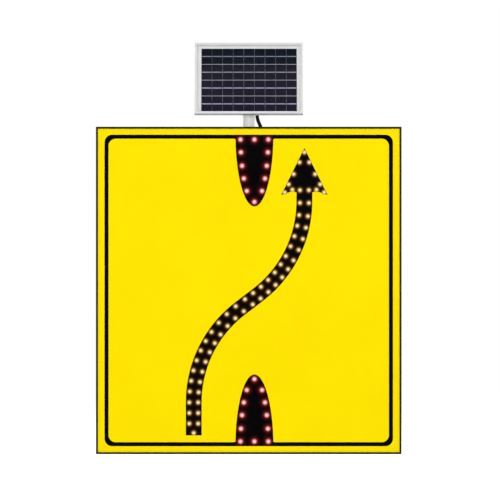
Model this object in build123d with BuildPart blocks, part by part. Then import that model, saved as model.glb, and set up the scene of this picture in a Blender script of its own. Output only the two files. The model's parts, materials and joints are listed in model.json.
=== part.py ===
import os
from math import cos, pi, radians, sin, sqrt, tan

from build123d import *

os.makedirs("parts", exist_ok=True)

# Frame: +Z up, the sign faces -Y, the origin is on the post axis at the sign's mid height

# Sign face and cabinet
FACE_W = 700
FACE_H = 750
CABINET_DEPTH = 80
WALL = 1.8
LIP_W = 4.5
LEDGE_W = 14
REAR_LEDGE_W = 18
REAR_LEDGE_T = 2.5
MITRE = 60
SHEET_T = 2
COVER_T = 1.5
FILM_T = 0.3
INK_T = 0.25
FILM_GAP = 0.3
GASKET_T = 2
FIT = 0.4
SLIP = 0.2
TOUCH = 0.05

# Post clamps and rails
POST_D = 60.3
POST_FIT = 0.1
CLAMP_R = POST_D / 2 + POST_FIT
CLAMP_Z = 220
CLAMP_H = 36
SADDLE_SEAT = 7.75
SADDLE_BASE = 6
SADDLE_HALF = 60
STRAP_T = 5
CLAMP_BOLT_X = 48
RAIL_DEPTH = 28
RAIL_H = 40
RAIL_T = 2
RAIL_SLOT = 18
RAIL_LENGTH = 690

# Face drawing
BORDER_INSET = (19.6, 18.2)
BORDER_W = 9.1
BORDER_R = 17.5
BORDER_INNER_R = 16.5
ISLAND_X = 13
ISLAND_HALF = 43.5
ISLAND_LENGTH = 164.3
ARROW_LEFT = -126
ARROW_RIGHT = 127.5
ARROW_BOTTOM = -332
ARROW_TURN_Z = -256
ARROW_R = 270
ARROW_TURN = 52.6
ARROW_W = 36.2
HEAD_HALF = 53
HEAD_APEX = 326.3
HEAD_BARB = 219
HEAD_NOTCH = 230.5

# Lamps
LAMP_HOLE_R = 3.2
BARREL_R = 2.7
AMBER_R = 5
RED_R = 5.6
LENS_H = 4.2
LENS_ROUND = 3.9
PAIR_HALF = 10.2
FIRST_PAIR = 27.2
PAIR_RUNS = ((9, 24.2), (4, 26.1), (6, 23), (4, 25.8), (2, 29.2))
PAIR_LEAD = 8
LEAD_SPAN = (110, 470)
END_LAMP = 5.6
APEX_LAMP_Z = 316.5
BARB_LAMP = (45.2, 224.8)
BARB_SHARES = (0.25, 0.545, 0.8, 1)
UNDER_LAMP = (27.6, 230.8)
ISLAND_ROWS = (11.1, 40.3, 71.3, 100.4, 128.9)
ISLAND_LAMP_HALF = 32
ISLAND_LAMP_REACH = 154

# Lamp boards
BOARD_T = 1.6
STANDOFF_H = 6
STANDOFF_R = 3
BOARD_HALF = 14
BOARD_HEAD = (47, 327, 220)

# Rear cover fasteners
SCREW_INSET = 9.5
SCREW_XS = (-300, -150, 0, 150, 300)
SCREW_ZS = (-300, -60, 60, 300)
RAIL_BOLT_X = 340

# Screws, bolts and nuts
PAN_R = 3.5
PAN_H = 2.4
PAN_ROUND = 1.2
KEY_ACROSS = 2.5
KEY_DEPTH = 1.5
BOARD_PAN_R = 2.8
BOARD_PAN_H = 2
BOARD_KEY_DEPTH = 1.2
BOARD_SCREW_R = 1.4
BOARD_SCREW_L = 5
M4_R = 2
M4_HOLE_R = 2.2
M6_R = 3
M6_HOLE_R = 3.3
M6_ACROSS = 10
M6_HEAD = 4
M6_NUT = 5
M8_R = 4
M8_HOLE_R = 4.5
M8_ACROSS = 13
M8_HEAD = 5.3
M8_NUT = 6.5
NUT_FIT = 0.1
HEX_ROUND = 0.97
HEX_CHAMFER = 0.8
BOLT_END = 8
BOLT_CHAMFER = 0.8

# Service door
DOOR_X = 215
DOOR_W = 236
DOOR_H = 356
DOOR_T = 1.5
DOOR_RIM = 4
DOOR_R = 5
DOOR_ROUND = 1.2
OPENING_W = 212
OPENING_H = 321
OPENING_R = 1
DOOR_GASKET_W = 7
DOOR_GASKET_T = 3
DOOR_GASKET_R = 8
DOOR_GASKET_INNER_R = 6
DOOR_GASKET_STEP = 1.5
HINGE_Z = 120
HINGE_H = 50
HINGE_X = 338.5
HINGE_Y = -60.5
KNUCKLE_R = 4
KNUCKLE_GAP = 0.3
HINGE_PIN_R = 2
LEAF_T = 1.7
LOCK_X = 124
LOCK_R = 8
BARREL_LOCK_R = 5.5
CAM_REACH = 26
CAM_HALF = 7

# Battery and electronics
PLATE_X = (155, 346.7)
PLATE_Z = (-190, 80)
PLATE_T = 1.5
SHELF_END = 330
BATTERY = (151, 65, 94)
BATTERY_X = 240.5
CONTROLLER = (110, 32, 72)
CONTROLLER_POS = (240, 16)
SWITCH_POS = (272, 30)
SWITCH_PRESS = 8
LEAD_D = 3.6
ARC_SHARE = 0.45

# Mast and swivel head
MAST_D = 26.9
MAST_WALL = 2
MAST_BOTTOM = 252
MAST_STANDOFF = 17.5
MAST_STRAP_Z = (275, 345)
MAST_STRAP_W = 20
MAST_STRAP_T = 2
MAST_STRAP_HALF = 33
MAST_BOLT_X = 25
HEAD_R = 18
HEAD_H = 40
HEAD_DROP = 16
HEAD_CAP = 8
EYE_R = 13
TONGUE_HALF = 6
RUN_FIT = 0.07

# Solar panel
PANEL_W = 250
PANEL_H = 169
PANEL_T = 17
PANEL_TILT = 10
PIVOT_Z = 482
PIVOT_REACH = 34
PANEL_LIP = 5.5
PANEL_WALL = 1.5
PANEL_FLANGE = 12
PANEL_MITRE = 30
GLASS_T = 2.9
RIBBON_T = 0.15
CELL_T = 0.3
BACKSHEET_T = 0.8
CELL_COLUMNS = 9
CELL_ROWS = 4
CELL_PITCH = (24.6, 37.8)
CELL_GAP = (0.2, 0.8)
CELL_SHIFT = (0.8, -3.7)
RIBBON = (22.4, 1.9)
CROSSBAR_H = 32
CROSSBAR_T = 3
CROSSBAR_INSET = 1
CROSSBAR_SCREW_L = 7
LUG_T = 4
LUG_GAP = 0.3
JUNCTION = (56, 44, 26)
JUNCTION_V = 48
JUNCTION_WALL = 2.5
JUNCTION_GLAND = (20, -8)
JUNCTION_GLAND_L = 9.5
JUNCTION_GLAND_HEX = (11.6, 5)
JUNCTION_GLAND_R = 5.2
JUNCTION_GLAND_ROUND = 0.9

# Solar lead, from the panel's junction box by the clip on the head to the gland on the rear cover
SOLAR_LEAD_D = 8.4
CLIP_POINT = (21.2, -62.8, 440.6)
CLIP_EXIT = (21, -53.8, 422.1)
GLAND_X = 64
GLAND_Z = 261.5
GLAND_R = 11
GLAND_BASE = 6
GLAND_DOME = 10
GLAND_STEP = 1.5
GLAND_ROUND = 4
GLAND_TAIL = 5
GLAND_NUT = 4
GLAND_FLUTES = 14
GLAND_FLUTE_R = 1.1

# Planes worked out from the sizes above
BACK_Y = -(CLAMP_R + SADDLE_SEAT + RAIL_DEPTH)
FRONT_Y = BACK_Y - CABINET_DEPTH
LIP_BACK = FRONT_Y + WALL
FILM_FRONT = LIP_BACK + FILM_GAP
SHEET_FRONT = FILM_FRONT + FILM_T
SHEET_BACK = SHEET_FRONT + SHEET_T
INK_FRONT = FILM_FRONT - INK_T
BOARD_FRONT = SHEET_BACK + STANDOFF_H
BOARD_BACK = BOARD_FRONT + BOARD_T
COVER_INNER = BACK_Y - COVER_T
LEDGE_REAR = COVER_INNER - GASKET_T
PLATE_FRONT = SHEET_BACK + WALL + SLIP
PLATE_BACK = PLATE_FRONT + PLATE_T
RAIL_FRONT = BACK_Y + RAIL_T
SADDLE_Y = BACK_Y + RAIL_DEPTH
LEFT_X = -FACE_W / 2
RIGHT_X = FACE_W / 2
TOP_Z = FACE_H / 2
ISLAND_BASE = TOP_Z - BORDER_INSET[1]
BORDER_WIDE = FACE_W - 2 * BORDER_INSET[0]
BORDER_HIGH = 2 * ISLAND_BASE
MAST_Y = BACK_Y + MAST_STANDOFF
MAST_R = MAST_D / 2
HEAD_TOP = PIVOT_Z - HEAD_DROP
HEAD_BOTTOM = HEAD_TOP - HEAD_H
MAST_TOP = HEAD_TOP - HEAD_CAP
GLAND_MOUTH = BACK_Y + GLAND_BASE + GLAND_DOME
DOOR_BACK = BACK_Y + DOOR_GASKET_T
DOOR_FRONT = DOOR_BACK + DOOR_T


def front_plane(y):
    """Plane across Y whose sketch reads as seen from the front; it extrudes towards the viewer."""
    return Plane(origin=(0, y, 0), x_dir=(1, 0, 0), z_dir=(0, -1, 0))


def side_plane(x):
    """Plane across X whose sketch reads as seen from the left; it extrudes towards the left."""
    return Plane(origin=(x, 0, 0), x_dir=(0, -1, 0), z_dir=(-1, 0, 0))


def lane_side(offset):
    """One edge of the arrow's bent shaft, beside its centreline; returns its two end lines."""
    low = Line((ARROW_LEFT + offset, ARROW_BOTTOM), (ARROW_LEFT + offset, ARROW_TURN_Z))
    first = JernArc(low @ 1, low % 1, ARROW_R - offset, -ARROW_TURN)
    middle = PolarLine(first @ 1, MIDDLE_RUN, direction=first % 1)
    second = JernArc(middle @ 1, middle % 1, ARROW_R + offset, ARROW_TURN)
    high = Line(second @ 1, (ARROW_RIGHT + offset, HEAD_NOTCH))
    return low, high


def lane_point(distance, offset):
    """Point at a distance along the arrow's centreline, moved sideways by the offset."""
    turn = radians(ARROW_TURN)
    low_run = ARROW_TURN_Z - ARROW_BOTTOM
    arc_run = ARROW_R * turn
    if distance <= low_run:
        x, z, lean = ARROW_LEFT, ARROW_BOTTOM + distance, 0
    elif distance <= low_run + arc_run:
        lean = (distance - low_run) / ARROW_R
        x = ARROW_LEFT + ARROW_R * (1 - cos(lean))
        z = ARROW_TURN_Z + ARROW_R * sin(lean)
    elif distance <= low_run + arc_run + MIDDLE_RUN:
        lean = turn
        run = distance - low_run - arc_run
        x = ARROW_LEFT + ARROW_R * (1 - cos(turn)) + run * sin(turn)
        z = ARROW_TURN_Z + ARROW_R * sin(turn) + run * cos(turn)
    else:
        lean = max(0, turn - (distance - low_run - arc_run - MIDDLE_RUN) / ARROW_R)
        straight = max(0, distance - low_run - 2 * arc_run - MIDDLE_RUN)
        x = ARROW_RIGHT - ARROW_R * (1 - cos(lean))
        z = ARROW_STRAIGHT_Z - ARROW_R * sin(lean) + straight
    return x + offset * cos(lean), z - offset * sin(lean)


def island_lamps():
    """Lamp places round the upper island: a row of three at the base, then the sides, then the tip."""
    places = [(ISLAND_X, ISLAND_BASE - ISLAND_ROWS[0])]
    for depth in ISLAND_ROWS:
        half = ISLAND_LAMP_HALF * sqrt(1 - (depth / ISLAND_LAMP_REACH) ** 2)
        places.append((ISLAND_X - half, ISLAND_BASE - depth))
        places.append((ISLAND_X + half, ISLAND_BASE - depth))
    places.append((ISLAND_X, ISLAND_BASE - ISLAND_LAMP_REACH))
    return places


def pair_distances():
    """Distances of the lamp pairs along the shaft, whose pitch changes from run to run."""
    distances = [FIRST_PAIR]
    for steps, pitch in PAIR_RUNS:
        for step in range(steps):
            distances.append(distances[-1] + pitch)
    return distances


def pair_lead(distance):
    """How far the lamp inside the first bend runs ahead of its partner outside it."""
    share = (distance - LEAD_SPAN[0]) / (LEAD_SPAN[1] - LEAD_SPAN[0])
    if share <= 0 or share >= 1:
        return 0
    return PAIR_LEAD * sin(pi * share)


def arrow_lamps():
    """Lamp places on the arrow: pairs along the shaft, its foot, and the outline of the head."""
    places = [(ARROW_LEFT, ARROW_BOTTOM + END_LAMP), (ARROW_RIGHT, APEX_LAMP_Z)]
    for distance in pair_distances():
        lead = pair_lead(distance)
        places.append(lane_point(distance - lead / 2, -PAIR_HALF))
        places.append(lane_point(distance + lead / 2, PAIR_HALF))
    for side in (-1, 1):
        for share in BARB_SHARES:
            z = APEX_LAMP_Z + share * (BARB_LAMP[1] - APEX_LAMP_Z)
            places.append((ARROW_RIGHT + side * share * BARB_LAMP[0], z))
        places.append((ARROW_RIGHT + side * UNDER_LAMP[0], UNDER_LAMP[1]))
    return places


def corner_radii(points):
    """Largest arc that the two runs at each corner of a route leave room for."""
    vectors = [Vector(point) for point in points]
    radii = []
    for before, here, after in zip(vectors, vectors[1:], vectors[2:]):
        turn = (here - before).get_angle(after - here)
        shorter = min((here - before).length, (after - here).length)
        radii.append(ARC_SHARE * shorter / tan(radians(turn) / 2))
    return radii


def lead_tube(points, diameter):
    """Round lead along a route of straight runs joined by tangent arcs."""
    radii = corner_radii(points)
    with BuildPart() as tube:
        with BuildLine():
            route = FilletPolyline(*points, radius=radii)
        with BuildSketch(Plane(origin=route @ 0, z_dir=route % 0)):
            Circle(diameter / 2)
        sweep()
    share = tube.part.volume / (pi * diameter**2 / 4 * route.length)
    print("lead radii", [round(radius) for radius in radii], "length", round(route.length, 1))
    print("lead volume over section times length", round(share, 4))
    return tube.part


def lamp_group(places, lens_r):
    """Lamps with a domed lens on the face and a barrel that ends on the board behind it."""
    with BuildPart() as lamps:
        with BuildSketch(front_plane(INK_FRONT)):
            with Locations(*places):
                Circle(lens_r)
        extrude(amount=LENS_H)
        fillet(lamps.edges().filter_by(GeomType.CIRCLE).group_by(Axis.Y)[0], LENS_ROUND)
        with BuildSketch(front_plane(BOARD_FRONT)):
            with Locations(*places):
                Circle(BARREL_R)
        extrude(amount=BOARD_FRONT - INK_FRONT)
    return lamps.part


def bolt_shanks(places, plane, length, radius):
    """Shanks whose chamfered ends lie on a plane."""
    with BuildPart() as shanks:
        with BuildSketch(plane):
            with Locations(*places):
                Circle(radius)
        extrude(amount=length)
        ends = shanks.edges().filter_by(GeomType.CIRCLE).group_by(Axis(plane.origin, plane.z_dir))[0]
        chamfer(ends, BOLT_CHAMFER)
    return shanks.part


def hex_ring(places, plane, across, thickness, bore_r):
    """Hexagon nuts, or heads where the bore is 0, on a plane; their corners are turned off at both ends."""
    corner_r = across / sqrt(3)
    with BuildPart() as blanks:
        with BuildSketch(plane):
            with Locations(*places):
                Circle(HEX_ROUND * corner_r)
        extrude(amount=thickness)
        chamfer(blanks.edges().filter_by(GeomType.CIRCLE), HEX_CHAMFER)
    with BuildPart() as nuts:
        with BuildSketch(plane):
            with Locations(*places):
                RegularPolygon(across / 2, 6, major_radius=False)
            if bore_r > 0:
                with Locations(*places):
                    Circle(bore_r, mode=Mode.SUBTRACT)
        extrude(amount=thickness)
        add(blanks.part, mode=Mode.INTERSECT)
    return nuts.part


def pan_heads(places, plane, radius, height, key_depth):
    """Round screw heads with a soft rim and a hexagon key hole; the plane is their outer face."""
    with BuildPart() as heads:
        with BuildSketch(plane):
            with Locations(*places):
                Circle(radius)
        extrude(amount=height)
        rims = heads.edges().filter_by(GeomType.CIRCLE).group_by(Axis(plane.origin, plane.z_dir))[0]
        fillet(rims, PAN_ROUND)
        with BuildSketch(plane):
            with Locations(*places):
                RegularPolygon(KEY_ACROSS / 2, 6, major_radius=False)
        extrude(amount=key_depth, mode=Mode.SUBTRACT)
    return heads.part


# Lane shift arrow, worked out from its sideways shift
TURN = radians(ARROW_TURN)
MIDDLE_RUN = (ARROW_RIGHT - ARROW_LEFT - 2 * ARROW_R * (1 - cos(TURN))) / sin(TURN)
ARROW_STRAIGHT_Z = ARROW_TURN_Z + 2 * ARROW_R * sin(TURN) + MIDDLE_RUN * cos(TURN)

AMBER_PLACES = arrow_lamps()
UPPER_PLACES = island_lamps()
LOWER_PLACES = [(x, -z) for x, z in UPPER_PLACES]
ALL_LAMPS = AMBER_PLACES + UPPER_PLACES + LOWER_PLACES

COVER_SCREWS = [(x, side * (TOP_Z - SCREW_INSET)) for x in SCREW_XS for side in (-1, 1)]
COVER_SCREWS += [(side * (RIGHT_X - SCREW_INSET), z) for z in SCREW_ZS for side in (-1, 1)]
RAIL_BOLTS = [(side * RAIL_BOLT_X, level * CLAMP_Z) for side in (-1, 1) for level in (-1, 1)]
MAST_BOLTS = [(side * MAST_BOLT_X, z) for side in (-1, 1) for z in MAST_STRAP_Z]

# Cabinet frame: one ring of extruded section, cut at the mitres into two rails and two stiles
with BuildPart() as cabinet_ring:
    with BuildSketch(front_plane(BACK_Y)):
        Rectangle(FACE_W, FACE_H)
        Rectangle(FACE_W - 2 * WALL, FACE_H - 2 * WALL, mode=Mode.SUBTRACT)
    extrude(amount=CABINET_DEPTH)
    with BuildSketch(front_plane(LIP_BACK)):
        Rectangle(FACE_W, FACE_H)
        Rectangle(FACE_W - 2 * LIP_W, FACE_H - 2 * LIP_W, mode=Mode.SUBTRACT)
    extrude(amount=WALL)
    with BuildSketch(front_plane(SHEET_BACK + WALL)):
        Rectangle(FACE_W, FACE_H)
        Rectangle(FACE_W - 2 * LEDGE_W, FACE_H - 2 * LEDGE_W, mode=Mode.SUBTRACT)
    extrude(amount=WALL)
    with BuildSketch(front_plane(LEDGE_REAR)):
        Rectangle(FACE_W, FACE_H)
        Rectangle(FACE_W - 2 * REAR_LEDGE_W, FACE_H - 2 * REAR_LEDGE_W, mode=Mode.SUBTRACT)
    extrude(amount=REAR_LEDGE_T)
    with BuildSketch(front_plane(LEDGE_REAR)):
        with Locations(*COVER_SCREWS):
            Circle(M4_HOLE_R)
        with Locations(*RAIL_BOLTS):
            Circle(M6_HOLE_R)
    extrude(amount=REAR_LEDGE_T, mode=Mode.SUBTRACT)

with BuildPart() as frame_rails:
    add(cabinet_ring.part)
    with BuildSketch(front_plane(0)):
        for side in (-1, 1):
            Polygon(
                (LEFT_X, side * TOP_Z),
                (RIGHT_X, side * TOP_Z),
                (RIGHT_X - MITRE, side * (TOP_Z - MITRE)),
                (LEFT_X + MITRE, side * (TOP_Z - MITRE)),
                align=None,
            )
    extrude(amount=-FRONT_Y, mode=Mode.INTERSECT)
frame_rails.part.label = "frame_rails"
export_step(frame_rails.part, "parts/frame_rails.step")

with BuildPart() as frame_stiles:
    add(cabinet_ring.part)
    with BuildSketch(front_plane(0)):
        for side in (-1, 1):
            Polygon(
                (side * RIGHT_X, -TOP_Z),
                (side * RIGHT_X, TOP_Z),
                (side * (RIGHT_X - MITRE), TOP_Z - MITRE),
                (side * (RIGHT_X - MITRE), MITRE - TOP_Z),
                align=None,
            )
    extrude(amount=-FRONT_Y, mode=Mode.INTERSECT)
frame_stiles.part.label = "frame_stiles"
export_step(frame_stiles.part, "parts/frame_stiles.step")

# Corner cleats, bonded inside the mitres
CLEAT_ARM = 45
CLEAT_T = 3
CLEAT_W = 40
CLEAT_Y = -85
with BuildPart() as corner_cleats:
    with BuildSketch(front_plane(CLEAT_Y)):
        for x_side in (-1, 1):
            for z_side in (-1, 1):
                corner_x = x_side * (RIGHT_X - WALL)
                corner_z = z_side * (TOP_Z - WALL)
                Polygon(
                    (corner_x, corner_z),
                    (corner_x - x_side * CLEAT_ARM, corner_z),
                    (corner_x - x_side * CLEAT_ARM, corner_z - z_side * CLEAT_T),
                    (corner_x - x_side * CLEAT_T, corner_z - z_side * CLEAT_T),
                    (corner_x - x_side * CLEAT_T, corner_z - z_side * CLEAT_ARM),
                    (corner_x, corner_z - z_side * CLEAT_ARM),
                    align=None,
                )
    extrude(amount=CLEAT_W)
corner_cleats.part.label = "corner_cleats"
export_step(corner_cleats.part, "parts/corner_cleats.step")

# Face sheet and the films on it
FACE_SHEET_W = FACE_W - 2 * (WALL + SLIP)
FACE_SHEET_H = FACE_H - 2 * (WALL + SLIP)
with BuildPart() as face_sheet:
    with BuildSketch(front_plane(SHEET_BACK)):
        Rectangle(FACE_SHEET_W, FACE_SHEET_H)
        with Locations(*ALL_LAMPS):
            Circle(LAMP_HOLE_R, mode=Mode.SUBTRACT)
    extrude(amount=SHEET_T)
face_sheet.part.label = "face_sheet"
export_step(face_sheet.part, "parts/face_sheet.step")

with BuildPart() as yellow_film:
    with BuildSketch(front_plane(SHEET_FRONT)):
        Rectangle(FACE_SHEET_W, FACE_SHEET_H)
        with Locations(*ALL_LAMPS):
            Circle(LAMP_HOLE_R, mode=Mode.SUBTRACT)
    extrude(amount=FILM_T)
yellow_film.part.label = "yellow_film"
export_step(yellow_film.part, "parts/yellow_film.step")

with BuildPart() as border_film:
    with BuildSketch(front_plane(FILM_FRONT)):
        RectangleRounded(BORDER_WIDE, BORDER_HIGH, BORDER_R)
        inner_wide = BORDER_WIDE - 2 * BORDER_W
        inner_high = BORDER_HIGH - 2 * BORDER_W
        RectangleRounded(inner_wide, inner_high, BORDER_INNER_R, mode=Mode.SUBTRACT)
        with Locations((ISLAND_X, 0)):
            Rectangle(2 * ISLAND_HALF, FACE_H, mode=Mode.SUBTRACT)
    extrude(amount=INK_T)
border_film.part.label = "border_film"
export_step(border_film.part, "parts/border_film.step")

with BuildPart() as island_films:
    with BuildSketch(front_plane(FILM_FRONT)):
        with Locations((ISLAND_X, ISLAND_BASE), (ISLAND_X, -ISLAND_BASE)):
            Ellipse(ISLAND_HALF, ISLAND_LENGTH)
        Rectangle(2 * FACE_W, 2 * ISLAND_BASE, mode=Mode.INTERSECT)
        with Locations(*UPPER_PLACES, *LOWER_PLACES):
            Circle(LAMP_HOLE_R, mode=Mode.SUBTRACT)
    extrude(amount=INK_T)
island_films.part.label = "island_films"
export_step(island_films.part, "parts/island_films.step")

with BuildPart() as arrow_film:
    with BuildSketch(front_plane(FILM_FRONT)):
        with BuildLine():
            left_low, left_high = lane_side(-ARROW_W / 2)
            right_low, right_high = lane_side(ARROW_W / 2)
            Line(left_low @ 0, right_low @ 0)
            Polyline(
                left_high @ 1,
                (ARROW_RIGHT - HEAD_HALF, HEAD_BARB),
                (ARROW_RIGHT, HEAD_APEX),
                (ARROW_RIGHT + HEAD_HALF, HEAD_BARB),
                right_high @ 1,
            )
        make_face()
        with Locations(*AMBER_PLACES):
            Circle(LAMP_HOLE_R, mode=Mode.SUBTRACT)
    extrude(amount=INK_T)
arrow_film.part.label = "arrow_film"
export_step(arrow_film.part, "parts/arrow_film.step")

# Lamps
with BuildPart() as amber_lamps:
    add(lamp_group(AMBER_PLACES, AMBER_R))
amber_lamps.part.label = "amber_lamps"
export_step(amber_lamps.part, "parts/amber_lamps.step")

with BuildPart() as red_lamps:
    add(lamp_group(UPPER_PLACES + LOWER_PLACES, RED_R))
red_lamps.part.label = "red_lamps"
export_step(red_lamps.part, "parts/red_lamps.step")

# Lamp boards, on standoffs behind the face sheet
STANDOFF_PAIRS = (1, 6, 11, 16, 21)
HEAD_STANDOFF_Z = 262
ISLAND_STANDOFFS = (55, 110)
PAIR_DISTANCES = pair_distances()
STANDOFF_PLACES = []
for pair in STANDOFF_PAIRS:
    STANDOFF_PLACES.append(lane_point((PAIR_DISTANCES[pair] + PAIR_DISTANCES[pair + 1]) / 2, 0))
STANDOFF_PLACES.append((ARROW_RIGHT, HEAD_STANDOFF_Z))
for depth in ISLAND_STANDOFFS:
    STANDOFF_PLACES.append((ISLAND_X, ISLAND_BASE - depth))
    STANDOFF_PLACES.append((ISLAND_X, depth - ISLAND_BASE))
BOARD_ISLAND_W = 76
BOARD_ISLAND_H = 160
BOARD_CORNER = 4
with BuildPart() as lamp_boards:
    with BuildSketch(front_plane(BOARD_BACK)):
        with BuildLine():
            left_low, left_high = lane_side(-BOARD_HALF)
            right_low, right_high = lane_side(BOARD_HALF)
            Line(left_low @ 0, right_low @ 0)
            Polyline(
                left_high @ 1,
                (ARROW_RIGHT - BOARD_HEAD[0], BOARD_HEAD[2]),
                (ARROW_RIGHT, BOARD_HEAD[1]),
                (ARROW_RIGHT + BOARD_HEAD[0], BOARD_HEAD[2]),
                right_high @ 1,
            )
        make_face()
        for side in (-1, 1):
            with Locations((ISLAND_X, side * (ISLAND_BASE - BOARD_ISLAND_H / 2))):
                RectangleRounded(BOARD_ISLAND_W, BOARD_ISLAND_H, BOARD_CORNER)
        with Locations(*STANDOFF_PLACES):
            Circle(BOARD_SCREW_R + SLIP, mode=Mode.SUBTRACT)
    extrude(amount=BOARD_T)
lamp_boards.part.label = "lamp_boards"
export_step(lamp_boards.part, "parts/lamp_boards.step")

with BuildPart() as board_standoffs:
    with BuildSketch(front_plane(BOARD_FRONT)):
        with Locations(*STANDOFF_PLACES):
            Circle(STANDOFF_R)
            Circle(BOARD_SCREW_R + NUT_FIT, mode=Mode.SUBTRACT)
    extrude(amount=STANDOFF_H)
board_standoffs.part.label = "board_standoffs"
export_step(board_standoffs.part, "parts/board_standoffs.step")

# Battery on its shelf, held by a strap, on the equipment plate
BATTERY_W, BATTERY_D, BATTERY_H = BATTERY
BATTERY_BOTTOM = PLATE_Z[0] + PLATE_T
BATTERY_TOP = BATTERY_BOTTOM + BATTERY_H
BATTERY_REAR = PLATE_BACK + BATTERY_D
SHELF_LIP_H = 12
FLANGE_REACH = 30
SHELF_REAR = BATTERY_REAR + PLATE_T + SLIP
with BuildPart() as equipment_plate:
    with BuildSketch(front_plane(PLATE_BACK)):
        with Locations((PLATE_X[0], PLATE_Z[0])):
            Rectangle(PLATE_X[1] - PLATE_X[0], PLATE_Z[1] - PLATE_Z[0], align=Align.MIN)
    extrude(amount=PLATE_T)
    with BuildSketch(front_plane(PLATE_FRONT + FLANGE_REACH)):
        with Locations((PLATE_X[1], PLATE_Z[0])):
            Rectangle(PLATE_T, PLATE_Z[1] - PLATE_Z[0], align=Align.MIN)
    extrude(amount=FLANGE_REACH)
    with BuildSketch(front_plane(SHELF_REAR)):
        with Locations((PLATE_X[0], PLATE_Z[0])):
            Rectangle(SHELF_END - PLATE_X[0], PLATE_T, align=Align.MIN)
    extrude(amount=SHELF_REAR - PLATE_BACK)
    with BuildSketch(front_plane(SHELF_REAR)):
        with Locations((PLATE_X[0], PLATE_Z[0])):
            Rectangle(SHELF_END - PLATE_X[0], SHELF_LIP_H, align=Align.MIN)
    extrude(amount=PLATE_T)
equipment_plate.part.label = "equipment_plate"
export_step(equipment_plate.part, "parts/equipment_plate.step")

LID_LINE = 16
LID_GROOVE = 0.8
BATTERY_ROUND = 2
with BuildPart() as battery:
    with BuildSketch(Plane.XY.offset(BATTERY_BOTTOM)):
        with Locations((BATTERY_X, (PLATE_BACK + BATTERY_REAR) / 2)):
            Rectangle(BATTERY_W, BATTERY_D)
    extrude(amount=BATTERY_H)
    fillet(battery.edges().filter_by(Axis.Z), BATTERY_ROUND)
    with BuildSketch(Plane.XY.offset(BATTERY_TOP - LID_LINE)):
        with Locations((BATTERY_X, (PLATE_BACK + BATTERY_REAR) / 2)):
            Rectangle(BATTERY_W, BATTERY_D)
            Rectangle(BATTERY_W - 2 * LID_GROOVE, BATTERY_D - 2 * LID_GROOVE, mode=Mode.SUBTRACT)
    extrude(amount=LID_GROOVE, mode=Mode.SUBTRACT)
battery.part.label = "battery"
export_step(battery.part, "parts/battery.step")

TERMINAL_X = 62
TERMINAL_INSET = 14
TERMINAL_Y = BATTERY_REAR - TERMINAL_INSET
TERMINAL_H = 7
TERMINAL_W = 4.8
with BuildPart() as battery_terminals:
    with BuildSketch(Plane.XY.offset(BATTERY_TOP)):
        with Locations((BATTERY_X - TERMINAL_X, TERMINAL_Y), (BATTERY_X + TERMINAL_X, TERMINAL_Y)):
            Rectangle(TERMINAL_W, TERMINAL_W)
    extrude(amount=TERMINAL_H)
battery_terminals.part.label = "battery_terminals"
export_step(battery_terminals.part, "parts/battery_terminals.step")

BAND_T = 1.2
BAND_Z = (-152, -130)
BAND_EAR = 14
BAND_HALF = BATTERY_W / 2 + SLIP
with BuildPart() as battery_strap:
    with BuildSketch(Plane.XY.offset(BAND_Z[0])):
        with Locations((BATTERY_X, PLATE_BACK)):
            outer = 2 * (BAND_HALF + BAND_T)
            Rectangle(outer, BATTERY_D + SLIP + BAND_T, align=(Align.CENTER, Align.MIN))
            Rectangle(outer + 2 * BAND_EAR, BAND_T, align=(Align.CENTER, Align.MIN))
            Rectangle(2 * BAND_HALF, BATTERY_D + SLIP, align=(Align.CENTER, Align.MIN), mode=Mode.SUBTRACT)
    extrude(amount=BAND_Z[1] - BAND_Z[0])
battery_strap.part.label = "battery_strap"
export_step(battery_strap.part, "parts/battery_strap.step")

# Charge controller with the flasher, its terminal blocks and the rocker switch
CONTROL_W, CONTROL_D, CONTROL_H = CONTROLLER
CONTROL_X, CONTROL_Z = CONTROLLER_POS
CONTROL_REAR = PLATE_BACK + CONTROL_D
CONTROL_EAR = 12
CONTROL_EAR_T = 3
CONTROL_EAR_W = 80
CASE_R = 4
CASE_ROUND = 1.5
SWITCH_X, SWITCH_Z = SWITCH_POS
SWITCH_BODY = (13.4, 19.2, 13)
SWITCH_BEZEL = (16, 22, 2)
BEZEL_R = 1.5
with BuildPart() as charge_controller:
    with BuildSketch(front_plane(CONTROL_REAR)):
        with Locations((CONTROL_X, CONTROL_Z)):
            RectangleRounded(CONTROL_W, CONTROL_H, CASE_R)
    extrude(amount=CONTROL_D)
    fillet(charge_controller.faces().sort_by(Axis.Y)[-1].edges(), CASE_ROUND)
    with BuildSketch(front_plane(PLATE_BACK + CONTROL_EAR_T)):
        with Locations((CONTROL_X, CONTROL_Z)):
            RectangleRounded(CONTROL_EAR_W, CONTROL_H + 2 * CONTROL_EAR, CASE_R)
    extrude(amount=CONTROL_EAR_T)
    with BuildSketch(front_plane(CONTROL_REAR)):
        with Locations((SWITCH_X, SWITCH_Z)):
            Rectangle(SWITCH_BODY[0] + FIT, SWITCH_BODY[1] + FIT)
    extrude(amount=SWITCH_BODY[2] + FIT, mode=Mode.SUBTRACT)
charge_controller.part.label = "charge_controller"
export_step(charge_controller.part, "parts/charge_controller.step")

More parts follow.
